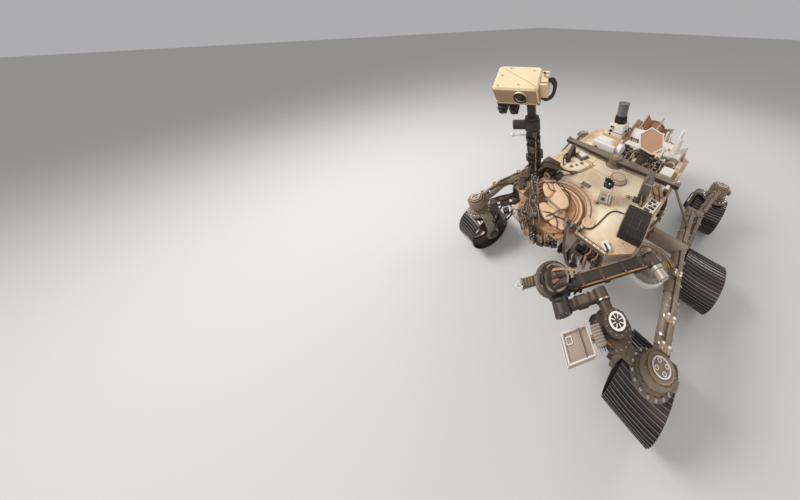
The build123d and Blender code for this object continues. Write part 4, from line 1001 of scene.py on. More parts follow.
@dataclass
class ArmTrim:
    """Cable trays, wire frames and clamps of the folded arm."""

    foot: Point
    heading_deg: float
    axis_z: float
    upper: float
    fore: float
    fore_across: float
    turret_across: float

    @classmethod
    def measured(cls, frame: Frame) -> "ArmTrim":
        """Arm whose places come from the frame's joints.


        Returns:
            The arm.
        """
        lift = joint_of(frame, "arm_lift")
        across = -Vector(lift["axis"])
        along = Vector((across.y, -across.x, 0))
        foot = Vector(lift["pos_m"])
        elbow, wrist, turret = (Vector(joint_of(frame, name)["pos_m"])
            for name in ("arm_elbow", "arm_wrist", "turret_turn"))
        return cls((foot.x, foot.y, 0.0), math.degrees(math.atan2(along.y, along.x)), foot.z,
            (elbow - foot).dot(along), (elbow - wrist).dot(along), (wrist - foot).dot(across),
            (turret - foot).dot(across))

    def frame(self) -> Matrix:
        """Frame whose X runs along the upper arm and whose origin is under the shoulder's axis."""
        return Matrix.Translation(self.foot) @ spun(self.heading_deg)

    def bowl(self) -> None:
        """White rim of the bowl, and the wire cage that leads the cables over it."""
        form = Form("shoulder_bowl_trim", self.frame())
        form.ring((0, 0, 0.884), 0.134, 0.122, 0.008, Finish.white_trim, sides=64)
        form.bolts((0, 0, 0.844), 0.094, 16, 0.005)
        posts = [heading(turn_deg, 0.139) for turn_deg in (156, 182, 208, 234, 260)]
        for post in posts:
            low, high = post + rise(0.86), post * 1.02 + rise(0.965)
            form.rod(low, high, 0.004, Finish.gold_wire, 8)
            form.rod(post * 0.93 + rise(0.886), low, 0.004, Finish.gold_wire, 8)
        for height, spread in ((0.9, 1.0), (0.965, 1.02)):
            rail = [post * spread + rise(height) for post in posts]
            for first, second in zip(rail, rail[1:]):
                form.rod(first, second, 0.004, Finish.gold_wire, 8)
        for index in range(5):
            reach, high = 0.93 * (0.152 + 0.012 * index), rise(0.93 + 0.006 * index)
            route = [heading(turn_deg, reach) + high for turn_deg in (158, 178, 198, 220, 240, 260)]
            form.tube(route, 0.0045, (Finish.gold_wire, Finish.cable_tan, Finish.cable_dark)[index % 3], 6)
        form.settle("chassis", "body_white")

    def shoulder(self) -> None:
        """Screws and caps of the turning shoulder."""
        form = Form("shoulder_trim", self.frame())
        for across, out in ((-0.074, -1), (0.14, 1)):
            form.bolts((0, across, self.axis_z), 0.03, 8, 0.0042, (0, out, 0))
            form.ring((0, across, self.axis_z), 0.0255, 0.02, 0.004, Finish.white_trim, (0, out, 0), 32)
        form.bolts((0, 0, 0.918), 0.074, 14, 0.0042)
        form.settle("shoulder", "dark_metal")

    def upper_arm(self) -> None:
        """Flat dark cover along the upper arm with its light edge, wires beside it and the elbow's cap."""
        form = Form("upper_arm_trim", self.frame())
        top = self.axis_z + 0.042
        form.strap([(0.09, 0, top + 0.008), (0.3, 0, top + 0.008), (0.5, 0, top + 0.008),
            (self.upper - 0.1, 0, top + 0.008)], 0.074, 0.018, Finish.band_dark, steps=0)
        for across, finish in ((-0.041, Finish.cable_tan), (0.041, Finish.gold_wire)):
            form.tube([(0.085, across, top), (0.3, across, top + 0.002), (self.upper - 0.11, across, top)],
                0.006, finish, 8)
        for along in (0.12, 0.26, 0.43, 0.58):
            form.block((along, 0, top + 0.018), (0.022, 0.092, 0.004), Finish.dark_metal, bevel=0.001)
            for across in (-0.038, 0.038):
                form.head((along, across, top + 0.02), 0.0042)
        cap = self.axis_z + 0.084
        form.lathe([(0, 0.006), (0.03, 0.006), (0.052, 0.004), (0.078, 0.004), (0.086, 0.0), (0.09, 0.0)],
            Finish.turret_metal, (self.upper, -0.046, cap), UP, 48)
        form.ring((self.upper, -0.046, cap), 0.0925, 0.078, 0.006, Finish.grey_paint, sides=64)
        form.bolts((self.upper, -0.046, cap + 0.005), 0.084, 18, 0.0034)
        for height in (0.03, 0.05, 0.07):
            form.ring((self.upper, -0.046, self.axis_z + height), 0.0925, 0.086, 0.004, Finish.turret_metal,
                sides=64)
        form.lathe([(0.11, -0.006), (0.124, 0.0), (0.124, 0.026), (0.118, 0.03), (0.09, 0.03)],
            Finish.turret_metal, (self.upper + 0.012, -0.072, self.axis_z - 0.004), UP, 64)
        form.bolts((self.upper + 0.012, -0.072, self.axis_z + 0.026), 0.109, 22, 0.0036)
        form.block((self.upper + 0.03, -0.05, cap + 0.008), (0.076, 0.094, 0.008), Finish.seam_brown,
            Matrix.Rotation(0.3, 4, "Z"), 0.002)
        self.brackets(form)
        self.louvres(form)
        form.strap([(self.upper - 0.05, -0.15, cap - 0.03), (self.upper + 0.02, -0.1, cap + 0.022),
            (self.upper + 0.05, -0.03, cap + 0.024), (self.upper + 0.02, 0.045, cap + 0.004)], 0.026, 0.006,
            Finish.band_dark)
        form.strap([(self.upper - 0.01, -0.162, cap - 0.04), (self.upper + 0.06, -0.115, cap + 0.016),
            (self.upper + 0.092, -0.04, cap + 0.018), (self.upper + 0.066, 0.04, cap - 0.002)], 0.02, 0.006,
            Finish.band_dark)
        form.settle("upper_arm", "dark_metal")

    def brackets(self, form: Form) -> None:
        """Gold and brown bent plates that lean from the upper arm onto the elbow's drum.

        Args:
            form: Piece that takes them.
        """
        top = self.axis_z + 0.05
        for index in range(3):
            along = self.upper - 0.15 + 0.042 * index
            for across, finish in ((-0.075, Finish.gold_panel), (0.056, Finish.band_dark)):
                form.strap([(along, across, self.axis_z - 0.01), (along + 0.004, across, top - 0.006),
                    (along + 0.03, across * 0.6, top + 0.022), (along + 0.04, across * 0.2, top + 0.026)],
                    0.02, 0.005, finish, up=(0, 1 if across > 0 else -1, 0.4))
        for across, finish in ((-0.066, Finish.gold_wire), (-0.02, Finish.band_dark),
                (0.036, Finish.band_dark)):
            form.strap([(self.upper - 0.16, across, top), (self.upper - 0.1, across - 0.01, top + 0.024),
                (self.upper - 0.03, across - 0.02, top + 0.05),
                (self.upper + 0.03, across - 0.02, top + 0.046),
                (self.upper + 0.085, across * 0.6 - 0.02, top + 0.01)], 0.018, 0.006, finish)

    def louvres(self, form: Form) -> None:
        """Longer end, ribs and open silver end frame of the elbow's drive.

        Args:
            form: Piece that takes them.
        """
        start, end, across, height = self.upper - 0.09, self.upper + 0.228, -0.104, self.axis_z - 0.016
        form.rod((self.upper + 0.14, across, height), (end, across, height), 0.0335, Finish.turret_metal,
            32)
        for index in range(15):
            along = start + (end - start) * (index + 0.5) / 15
            form.ring((along - 0.004, across, height), 0.0372, 0.033, 0.008,
                (Finish.tube_grey, Finish.grey_paint)[index % 2], AHEAD, 32)
        form.ring((end - 0.006, across, height), 0.041, 0.022, 0.01, Finish.bare_silver, AHEAD, 40)
        for turn_deg in (20, 140, 260):
            turn = math.radians(turn_deg)
            foot = Vector((end, across + 0.034 * math.cos(turn), height + 0.034 * math.sin(turn)))
            form.rod(foot, (end + 0.04, across + 0.012 * math.cos(turn), height + 0.012 * math.sin(turn)),
                0.003, Finish.white_trim, 8)
        form.ring((end + 0.036, across, height), 0.016, 0.01, 0.006, Finish.white_trim, AHEAD, 24)
        form.bolts((end + 0.004, across, height), 0.031, 8, 0.0034, AHEAD)

    def forearm(self) -> None:
        """Wires and clamps of the forearm."""
        form = Form("forearm_trim", self.frame())
        wrist = self.upper - self.fore
        top = self.axis_z + 0.034
        across = self.fore_across
        form.strap([(self.upper - 0.07, across, top + 0.006), (wrist + 0.055, across, top + 0.006)], 0.05,
            0.012, Finish.olive_cover, steps=0)
        for along in (wrist + 0.09, wrist + 0.18):
            form.block((along, across, top + 0.013), (0.018, 0.062, 0.004), Finish.dark_metal, bevel=0.001)
        form.bolts((self.upper, across + 0.04, self.axis_z), 0.04, 10, 0.0042, PORT)
        form.tube([(self.upper - 0.02, across - 0.02, top + 0.01),
            (self.upper + 0.02, across - 0.03, top + 0.03), (self.upper + 0.045, across - 0.04, top)],
            0.006, Finish.cable_dark, 8)
        form.settle("forearm", "dark_metal")

    def wrist(self) -> None:
        """Steel ring of the wrist."""
        wrist = self.upper - self.fore
        form = Form("wrist_trim", self.frame())
        form.ring((wrist, self.fore_across + 0.026, self.axis_z), 0.0495, 0.044, 0.01, Finish.bolt_steel,
            PORT, 32)
        form.settle("wrist", "dark_metal")

    def build(self) -> None:
        """Build every piece of trim."""
        self.bowl()
        self.shoulder()
        self.upper_arm()
        self.forearm()
        self.wrist()


@dataclass
class TurretTrim:
    """White outlines, ring, screws and wires of the turret."""

    arm: ArmTrim
    ring_rise: float = 0.092
    plate_top: float = 0.962
    plate_under: float = 0.938
    box_ahead: float = 0.228
    box_length: float = 0.168
    box_width: float = 0.152
    box_height: float = 0.108

    def outline(self, form: Form, corners: Sequence[Point], width: float) -> None:
        """Lay white strips round a flat outline.

        Args:
            form: Piece that takes the strips.
            corners: Corners of the outline.
            width: Width of a strip.
        """
        looped = list(corners) + [corners[0]]
        for first, second in zip(looped, looped[1:]):
            form.strap([first, second], width, 0.004, Finish.white_trim, steps=0)

    def build(self) -> None:
        """Build the trim."""
        wrist = self.arm.upper - self.arm.fore
        place = self.arm.frame() @ Matrix.Translation((wrist, self.arm.turret_across, 0))
        form = Form("turret_trim", place)
        top = self.arm.axis_z + self.ring_rise
        form.ring((0, 0, top), 0.0475, 0.036, 0.006, Finish.white_trim)
        form.lathe([(0, 0.002), (0.036, 0.002)], Finish.cable_dark, (0, 0, top), sides=32)
        for index in range(8):
            spoke = heading(45 * index + 10)
            form.rod(spoke * 0.012 + rise(top + 0.004), spoke * 0.037 + rise(top + 0.004), 0.0028,
                Finish.white_trim, 8)
        form.rod((0, 0, top), (0, 0, top + 0.008), 0.012, Finish.turret_metal, 20)
        form.bolts((0, 0, top - 0.022), 0.06, 12, 0.004)
        form.bolts((0, 0, self.plate_top), 0.102, 20, 0.0042)
        form.block((0.106, 0.01, self.plate_top + 0.02), (0.052, 0.104, 0.04), Finish.shoulder_silver,
            bevel=0.003)
        for index in range(7):
            form.block((0.106, -0.034 + 0.0147 * index, self.plate_top + 0.03), (0.058, 0.005, 0.032),
                Finish.turret_skin, bevel=0.001)
        for index in range(4):
            form.rod((0.086 + 0.013 * index, 0.062, self.plate_top + 0.014),
                (0.086 + 0.013 * index, 0.094, self.plate_top + 0.014), 0.0048, Finish.bare_silver, 12)
        x0, x1 = self.box_ahead - self.box_length / 2, self.box_ahead + self.box_length / 2
        y0, y1 = 0.006 - self.box_width / 2, 0.006 + self.box_width / 2
        high = self.plate_under + 0.002
        split = self.box_ahead - self.box_length / 6
        self.outline(form, [(x0 + 0.004, y0 + 0.004, high), (split, y0 + 0.004, high),
            (split, y1 - 0.004, high), (x0 + 0.004, y1 - 0.004, high)], 0.008)
        self.outline(form, [(split, y0 + 0.004, high), (x1 - 0.004, y0 + 0.004, high),
            (x1 - 0.004, y1 - 0.004, high), (split, y1 - 0.004, high)], 0.008)
        self.outline(form, [(x1 - 0.055, y0 + 0.03, high - 0.004), (x1 - 0.022, y0 + 0.03, high - 0.004),
            (x1 - 0.022, y0 + 0.065, high - 0.004), (x1 - 0.055, y0 + 0.065, high - 0.004)], 0.006)
        low = self.plate_under - self.box_height
        for x in (x0, x1):
            form.strap([(x, y0 + 0.006, low + 0.01), (x, y1 - 0.006, low + 0.01)], 0.008, 0.004,
                Finish.white_trim, up=AHEAD, steps=0)
            for y in (y0 + 0.005, y1 - 0.005):
                form.strap([(x, y, low + 0.01), (x, y, high - 0.004)], 0.008, 0.004, Finish.white_trim,
                    up=AHEAD, steps=0)
        for index in range(3):
            shift = 0.012 * index
            form.tube([(0.05, 0.09 - shift, self.plate_top + 0.004),
                (0.085, 0.06 - shift, self.plate_top + 0.03), (0.12, 0.03 - shift, self.plate_top + 0.006),
                (0.138, 0.01 - shift / 2, high - 0.006)], 0.0045, DARK_TAN_GOLD[index], 6)
        form.settle("turret", "grey_paint")


@dataclass
class MastTrim:
    """Cables, clamps, drums and small boxes on the mast's foot and column."""

    x: float = 0.6
    y: float = -0.56
    deck: float = 1.1
    low: float = 1.22
    top: float = 1.74
    tube: float = 0.046
    drum_z: float = 1.69
    drum_out: Point = (0.674, -0.738, 0)
    drum_reach: float = 0.17
    clamps: Sequence[float] = (1.29, 1.35, 1.47, 1.55, 1.64)

    def build(self) -> None:
        """Build the trim."""
        form = Form("mast_column_trim", Matrix.Translation((self.x, self.y, 0)))
        twist_deg = math.degrees(0.05)
        for index in range(9):
            route = []
            for step in range(8):
                height = self.low - 0.03 + step * (self.top - 0.1 - self.low) / 7
                bulge = self.tube + 0.01 + 0.012 * math.sin(1.9 * step + index * 1.3) ** 2
                route.append(heading(40 * index + 12 + twist_deg * step, bulge) + rise(height))
            form.tube(route, 0.0055 + 0.0015 * (index % 3), DARK_TAN_METAL[index % 3], 7, 4)
        for height in self.clamps:
            form.ring(rise(height), self.tube + 0.026, self.tube - 0.002, 0.012, Finish.dark_metal,
                sides=32)
            form.bolts(rise(height + 0.012), self.tube + 0.018, 10, 0.0032)
        rows = ((-40, 1.33, 0.05, 0.034, 0.07), (35, 1.45, 0.06, 0.03, 0.06), (-95, 1.52, 0.05, 0.04, 0.06),
            (140, 1.36, 0.05, 0.04, 0.09), (60, 1.62, 0.044, 0.03, 0.05))
        for turn_deg, height, width, depth, tall in rows:
            spot = heading(turn_deg, self.tube + depth / 2 + 0.004) + rise(height)
            spin = spun(turn_deg)
            form.block(spot, (depth, width, tall), Finish.olive_cover, spin, 0.003)
            for dz in (-tall * 0.34, tall * 0.34):
                form.head(spot + spin @ Vector((depth / 2, 0, dz)), 0.004, spin @ Vector(AHEAD))
        out = Vector(self.drum_out).normalized()
        drum, face = rise(self.drum_z), out * self.drum_reach
        form.rod(drum + out * 0.05, drum + face, 0.045, Finish.dark_metal, 32, 0.004)
        form.ring(drum + face, 0.046, 0.018, 0.008, Finish.cable_tan, out, 32)
        form.bolts(drum + face + out * 0.002, 0.034, 8, 0.0035, out)
        form.settle("chassis", "dark_metal")
        self.foot_clutter()

    def foot_clutter(self) -> None:
        """Cable loops, drums and boxes about the foot."""
        form = Form("mast_foot_trim", Matrix.Translation((self.x, self.y, self.deck)))
        form.bolts(rise(0.0005), 0.098, 12, 0.006)
        form.ring((0, 0, 0), 0.108, 0.08, 0.006, Finish.dark_metal)
        form.rod((-0.13, 0.16, 0.045), (-0.02, 0.16, 0.045), 0.045, Finish.cable_dark, 32, 0.004)
        form.ring((-0.02, 0.16, 0.045), 0.046, 0.02, 0.006, Finish.cable_tan, AHEAD, 32)
        form.rod((-0.16, 0.24, 0.034), (-0.06, 0.25, 0.034), 0.034, Finish.dark_metal, 28, 0.004)
        for index in range(7):
            lift = 0.03 + 0.011 * index
            form.tube([(0.02, 0.07 + 0.006 * index, lift + 0.05), (-0.05, 0.11, lift + 0.09),
                (-0.13, 0.17 + 0.01 * index, lift + 0.05), (-0.21, 0.26, 0.06),
                (-0.27 - 0.01 * index, 0.33, 0.012)], 0.008, DARK_TAN[index % 2], 7)
        form.block((-0.2, 0.1, 0.05), (0.09, 0.12, 0.1), Finish.dark_metal)
        form.block((-0.22, -0.01, 0.04), (0.1, 0.07, 0.08), Finish.olive_cover)
        form.block((0.12, -0.01, 0.03), (0.06, 0.09, 0.06), Finish.turret_metal)
        form.settle("chassis", "dark_metal")


@dataclass
class HeadTrim:
    """Seam, lens and cables of the camera head."""

    pivot: Point
    pan_deg: float
    tilt_deg: float = 25.0
    ahead: float = 0.018
    aside: float = -0.07
    length: float = 0.262
    width: float = 0.352
    height: float = 0.15
    lift: float = 0.046
    lens_y: float = -0.034
    cameras: tuple[float, float] = (-0.2134, -0.1167)

    @classmethod
    def measured(cls, frame: Frame) -> "HeadTrim":
        """Head whose pivot and pan come from the frame's tilt joint.


        Returns:
            The head's trim.
        """
        tilt = joint_of(frame, "mast_tilt")
        axis = tilt["axis"]
        return cls(tuple(tilt["pos_m"]), math.degrees(math.atan2(-axis[0], axis[1])))

    def frame(self) -> Matrix:
        """Frame at the tilt axis whose X looks where the head looks."""
        turn = spun(self.pan_deg) @ spun(self.tilt_deg, "Y")
        return Matrix.Translation(self.pivot) @ turn

    def build(self) -> None:
        """Build the trim."""
        form = Form("head_trim", self.frame())
        front = self.ahead + self.length / 2
        back = self.ahead - self.length / 2
        top = self.lift + self.height
        left, right = self.aside + self.width / 2, self.aside - self.width / 2
        self.seams(form, front, back, top, left, right)
        self.eyes(form, front)
        self.side_box(form, left)
        for index in range(7):
            lift = 0.01 * (index % 3)
            out = 0.006 * (index // 3)
            form.tube([(self.ahead - 0.03, 0.15, top - 0.04),
                (self.ahead - 0.045 - out, 0.185 + out, top - 0.05 - lift),
                (self.ahead - 0.06 - out, 0.2 + out, self.lift + 0.03 - lift),
                (self.ahead - 0.05, 0.18, self.lift - 0.05 - lift),
                (self.ahead - 0.015, 0.13, self.lift - 0.07 - lift / 2), (0.012, 0.085, self.lift - 0.05)],
                0.0115, (Finish.cable_dark, Finish.dark_metal)[index % 2], 7)
        form.settle("mast_head", "body_white")

    def seams(self, form: Form, front: float, back: float, top: float, left: float, right: float) -> None:
        """Seams of the cover, its pale brown front and side plates that carry painted shade, and its
        screws.

        Args:
            form: Piece that takes them.
            front: Front face of the cover.
            back: Rear face of the cover.
            top: Top of the cover.
            left: Port face of the cover.
            right: Starboard face of the cover.
        """
        middle = (left + right) / 2
        form.strap([(back + 0.015, right + 0.02, top + 0.0006),
            (front - 0.035, left - 0.015, top + 0.0006)], 0.003, 0.002, Finish.cable_tan, steps=0)
        for x, y in ((back + 0.03, right + 0.1), (back + 0.12, right + 0.05), (front - 0.05, middle + 0.02),
                (back + 0.05, left - 0.06), (front - 0.03, right + 0.04)):
            form.lathe([(0.01, 0), (0.008, 0.0045), (0, 0.006)], Finish.body_white, (x, y, top), sides=16)
        # Front plate in pale brown: painted shade on the face turned from the light.
        form.block((front + 0.001, middle, self.lift + self.height / 2),
            (0.004, self.width - 0.026, self.height - 0.026), Finish.head_face, bevel=0.0015)
        form.block((self.ahead, middle, self.lift + 0.002),
            (self.length + 0.004, self.width + 0.004, 0.006), Finish.cable_tan, bevel=0.002)
        # Side plates in the same pale brown painted shade.
        for y in (left + 0.001, right - 0.001):
            form.block((self.ahead, y, self.lift + self.height / 2),
                (self.length - 0.03, 0.004, self.height - 0.03), Finish.head_face, bevel=0.0015)
        for share in (0.18, 0.4, 0.62, 0.84):
            y = right + self.width * share
            form.head((front + 0.003, y, self.lift + 0.016), 0.0032, AHEAD)

    def eyes(self, form: Form, front: float) -> None:
        """Big lens, its ring and the two slung cameras' glasses, with their bodies near-black as painted
        shade under the head.

        Args:
            form: Piece that takes them.
            front: Front face of the cover.
        """
        lens_z = self.lift + self.height / 2 + 0.008
        form.lathe([(0, 0.01), (0.024, 0.009), (0.0385, 0.0)], Finish.lens_glass,
            (front + 0.01, self.lens_y, lens_z), AHEAD, 48)
        form.ring((front + 0.021, self.lens_y, lens_z), 0.0508, 0.0385, 0.004, Finish.cable_dark, AHEAD)
        form.bolts((front + 0.0248, self.lens_y, lens_z), 0.0448, 12, 0.0024, AHEAD, Finish.dark_metal)
        for y in self.cameras:
            form.lathe([(0, 0.0395), (0.0135, 0.039)], Finish.lens_glass, (0.1515, y, self.lift - 0.057),
                AHEAD, 24)
            form.ring((0.15, y, self.lift - 0.057), 0.0212, 0.0135, 0.0418, Finish.cable_dark, AHEAD, 28)
            # Camera bodies in near-black: painted shade beneath the head.
            form.block((0.13, y, self.lift - 0.057), (0.076, 0.064, 0.05), Finish.cable_dark)

    def side_box(self, form: Form, left: float) -> None:
        """Knob, seam and corner straps of the small box beside the cover.

        Args:
            form: Piece that takes them.
            left: Port face of the cover.
        """
        top = self.lift + self.height * 0.9
        form.rod((self.ahead - 0.04, left + 0.03, top), (self.ahead - 0.04, left + 0.03, top + 0.026),
            0.014, Finish.body_white, 24, 0.004)
        form.rod((self.ahead - 0.04, left + 0.03, top + 0.024),
            (self.ahead - 0.04, left + 0.03, top + 0.036), 0.008, Finish.cable_dark, 18)
        for x in (self.ahead + 0.03, self.ahead - 0.075):
            form.strap([(x, left + 0.004, top + 0.001), (x, left + 0.052, top + 0.001)], 0.014, 0.003,
                Finish.cable_tan, steps=0)


@dataclass
class DishTrim:
    """White edge of the six-sided dish."""

    pivot: Point
    azimuth_deg: float
    tilt_deg: float = 38.0
    offset: float = 0.062
    flats: float = 0.25
    thickness: float = 0.03

    @classmethod
    def measured(cls, frame: Frame) -> "DishTrim":
        """Dish whose pivot and azimuth come from the frame's tilt joint.


        Returns:
            The dish's trim.
        """
        tilt = joint_of(frame, "dish_tilt")
        axis = tilt["axis"]
        return cls(tuple(tilt["pos_m"]), math.degrees(math.atan2(axis[0], -axis[1])))

    def build(self) -> None:
        """Build the edge."""
        place = (Matrix.Translation(self.pivot) @ spun(self.azimuth_deg) @ spun(-self.tilt_deg, "Y")
            @ spun(90, "Y"))
        form = Form("dish_edge", place)
        rim = self.flats / math.sqrt(3)
        face = self.offset + self.thickness
        form.lathe([(rim - 0.012, face - 0.005), (rim + 0.001, face - 0.005), (rim + 0.001, face + 0.0015),
            (rim - 0.012, face + 0.0015)], Finish.white_trim, sides=6, closed=True)
        form.lathe([(rim + 0.0008, face - 0.026), (rim + 0.0008, face - 0.006), (rim - 0.004, face - 0.006),
            (rim - 0.004, face - 0.026)], Finish.white_trim, sides=6, closed=True)
        form.settle("dish", "dish_paint")


@dataclass
class AntennaTrim:
    """Bands, struts and knobs of the upright drum antenna, and its white base box with small parts."""

    x: float = -0.74
    y: float = -0.279
    high: float = 1.605
    radius: float = 0.066
    deck: float = 1.103
    waist: float = 1.44
    shell: float = 1.338
    half_box: float = 0.096

    def build(self) -> None:
        """Build the trim."""
        form = Form("drum_antenna_trim", Matrix.Translation((self.x, self.y, 0)))
        waist, shell, half = self.waist, self.shell, self.half_box
        for height, outer in ((self.high - 0.008, 0.0025), (waist, 0.004)):
            form.ring((0, 0, height), self.radius + outer, self.radius - 0.001, 0.008, Finish.dark_metal,
                sides=64)
        form.lathe([(self.radius + 0.001, 0), (self.radius + 0.001, waist - shell)], Finish.band_dark,
            rise(shell), sides=64)
        for index in range(8):
            out = heading(45 * index + 10)
            form.rod(out * (self.radius + 0.012) + rise(shell), out * (self.radius + 0.003) + rise(waist),
                0.0065, Finish.dark_metal, 10)
            form.block(out * (self.radius + 0.008) + rise(shell + 0.05), (0.014, 0.022, 0.014),
                Finish.olive_cover, spun(45 * index + 10), 0.002)
        form.block(rise((self.deck + shell) / 2), (2 * half, 2 * half, shell - self.deck),
            Finish.white_trim, bevel=0.005)
        form.block(rise(shell + 0.002), (2 * half - 0.014, 2 * half - 0.014, 0.006), Finish.head_cream,
            bevel=0.002)
        chooser = random.Random(4)
        for index in range(12):
            side = chooser.uniform(-0.075, 0.075)
            height = chooser.uniform(self.deck + 0.03, shell - 0.03)
            wide, tall = chooser.uniform(0.014, 0.034), chooser.uniform(0.014, 0.04)
            finish = chooser.choice((Finish.cable_dark, Finish.dark_metal, Finish.gold_panel,
                Finish.cable_tan))
            if index % 2:
                form.block((half + 0.005, side, height), (0.012, wide, tall), finish, bevel=0.002)
            else:
                form.block((side, half + 0.005, height), (wide, 0.012, tall), finish, bevel=0.002)
        form.settle("chassis", "grey_paint")


@dataclass
class PowerTrim:
    """Pipes, white fin edges and end screws of the power source, and pipes on its side panels."""

    x: float = -1.232
    z: float = 0.985
    tilt_deg: float = 24.0
    core: float = 0.13
    reach: float = 0.29
    length: float = 0.54
    inset: float = 0.045
    fins: int = 8

    def build(self) -> None:
        """Build the trim."""
        place = Matrix.Translation((self.x, 0, self.z)) @ spun(self.tilt_deg, "Y")
        form = Form("power_source_trim", place)
        half = self.length / 2
        for index in range(self.fins):
            turn = 2 * math.pi * (index + 0.5) / self.fins
            out = Vector((0, -math.sin(turn), math.cos(turn)))
            side = Vector((0, math.cos(turn), math.sin(turn)))
            start = Vector((-half + self.inset, 0, 0)) + out * (self.reach - 0.004)
            end = Vector((half - self.inset, 0, 0)) + out * (self.reach - 0.004)
            form.strap([start, end], 0.018, 0.008, Finish.white_trim, up=out, steps=0)
            for share in (0.3, 0.62):
                lift = out * (self.core + (self.reach - self.core) * share)
                low = Vector((-half + self.inset, 0, 0)) + lift
                high = Vector((half - self.inset, 0, 0)) + lift
                form.rod(low + side * 0.01, high + side * 0.01, 0.006, Finish.gold_wire, 8)
        form.bolts((-half, 0, 0), 0.108, 16, 0.006, (-1, 0, 0))
        form.ring((-half, 0, 0), 0.08, 0.05, 0.008, Finish.grey_paint, (-1, 0, 0))
        form.settle("chassis", "fin_paint")


@dataclass
class DeckTrim:
    """Lip, fasteners, rings, small plates and the thin cable on the deck."""

    top: float = 1.1
    front: float = 0.88
    rear: float = -0.85
    half: float = 0.62
    cut: float = 0.07
    arm_cut: float = 0.13
    inset: float = 0.03
    pitch: float = 0.105

    def corners(self, inset: float) -> list[Vector]:
        """Corners of the deck's outline, moved inwards.

        Args:
            inset: How far they move.

        Returns:
            The corners, in order.
        """
        rear, front, half = self.rear + inset, self.front - inset, self.half - inset
        flat = [(rear, -half + self.cut), (rear + self.cut, -half), (front - self.cut, -half),
            (front, -half + self.cut), (front, half - self.arm_cut), (front - self.arm_cut, half),
            (rear + self.cut, half), (rear, half - self.cut)]
        return [Vector((x, y, 0)) for x, y in flat]

    def edges(self, form: Form) -> None:
        """Raised lip and a row of fasteners along every edge but the bay's.

        Args:
            form: Piece that takes them.
        """
        ring = self.corners(self.inset)
        for first, second in zip(ring, ring[1:] + ring[:1]):
            line = second - first
            if abs(first.x - second.x) < 1e-6 and first.x > 0:
                continue
            form.strap([first, second], 0.012, 0.007, Finish.deck_white, steps=0)
            count = max(2, round(line.length / self.pitch))
            for index in range(count):
                spot = first + line * ((index + 0.5) / count)
                inward = Vector((-line.y, line.x, 0)).normalized() * 0.022
                form.head(spot + inward, 0.0055)

    def marks(self, form: Form) -> None:
        """Rings, the sandy bump and the small grey plate.

        Args:
            form: Piece that takes them.
        """
        for x, y, radius in ((0.512, 0.176, 0.03), (0.243, 0.363, 0.03), (0.43, -0.05, 0.02)):
            form.ring((x, y, 0), radius, radius - 0.008, 0.003, Finish.cable_tan, sides=40)
            form.lathe([(0, 0.002), (radius * 0.45, 0.002), (radius * 0.5, 0)], Finish.dark_metal,
                (x, y, 0), sides=24)
        form.lathe([(0.054, 0), (0.052, 0.01), (0.04, 0.013), (0.034, 0.006), (0.024, 0.006), (0.02, 0.012),
            (0, 0.012)], Finish.peach_cover, (0.755, 0.243, 0), sides=48)
        form.block((0.376, -0.04, 0.004), (0.052, 0.1, 0.008), Finish.tube_grey, bevel=0.002)
        for y in (-0.078, -0.002):
            form.head((0.376, y, 0.008), 0.005, finish=Finish.cable_dark)

    def seams(self, form: Form) -> None:
        """Joints between the deck's sheets.

        Args:
            form: Piece that takes them.
        """
        rows = (((0.3, -0.59), (0.3, -0.36)), ((0.1, -0.59), (0.1, 0.18)), ((0.02, -0.2), (-0.3, -0.2)),
            ((-0.42, -0.59), (-0.42, -0.05)), ((0.46, 0.47), (0.46, 0.3)))
        for (ax, ay), (bx, by) in rows:
            form.strap([(ax, ay, 0.0006), (bx, by, 0.0006)], 0.004, 0.002, Finish.cable_tan, steps=0)

    def build(self) -> None:
        """Build the trim."""
        form = Form("deck_trim", Matrix.Translation(rise(self.top)))
        self.edges(form)
        self.marks(form)
        self.seams(form)
        lip = [(0.56, -0.415), (0.44, -0.338), (0.3, -0.25), (0.15, -0.2), (0.03, -0.185), (0.032, -0.32),
            (-0.04, -0.392)]
        for shift, width, thick, finish in ((0.0, 0.02, 0.016, Finish.peach_cover),
                (0.016, 0.008, 0.005, Finish.seam_brown), (-0.016, 0.006, 0.004, Finish.seam_brown),
                (0.034, 0.01, 0.008, Finish.cable_tan)):
            form.strap([(x - shift * 0.6, y + shift, 0.001) for x, y in lip[:5]], width, thick, finish,
                steps=4)
            form.strap([(x - shift, y, 0.001) for x, y in lip[4:]], width, thick, finish, steps=0)
        form.block((0.912, 0.357, 0.013), (0.044, 0.262, 0.024), Finish.turret_metal)
        high = 0.006
        form.tube([(0.905, -0.02, high + 0.012), (0.868, 0.1, high + 0.012), (0.838, 0.215, high),
            (0.8, 0.285, high), (0.735, 0.306, high), (0.64, 0.312, high), (0.545, 0.32, high),
            (0.49, 0.35, high), (0.465, 0.42, high)], 0.0055, Finish.cable_dark, 8)
        form.settle("chassis", "deck_white")


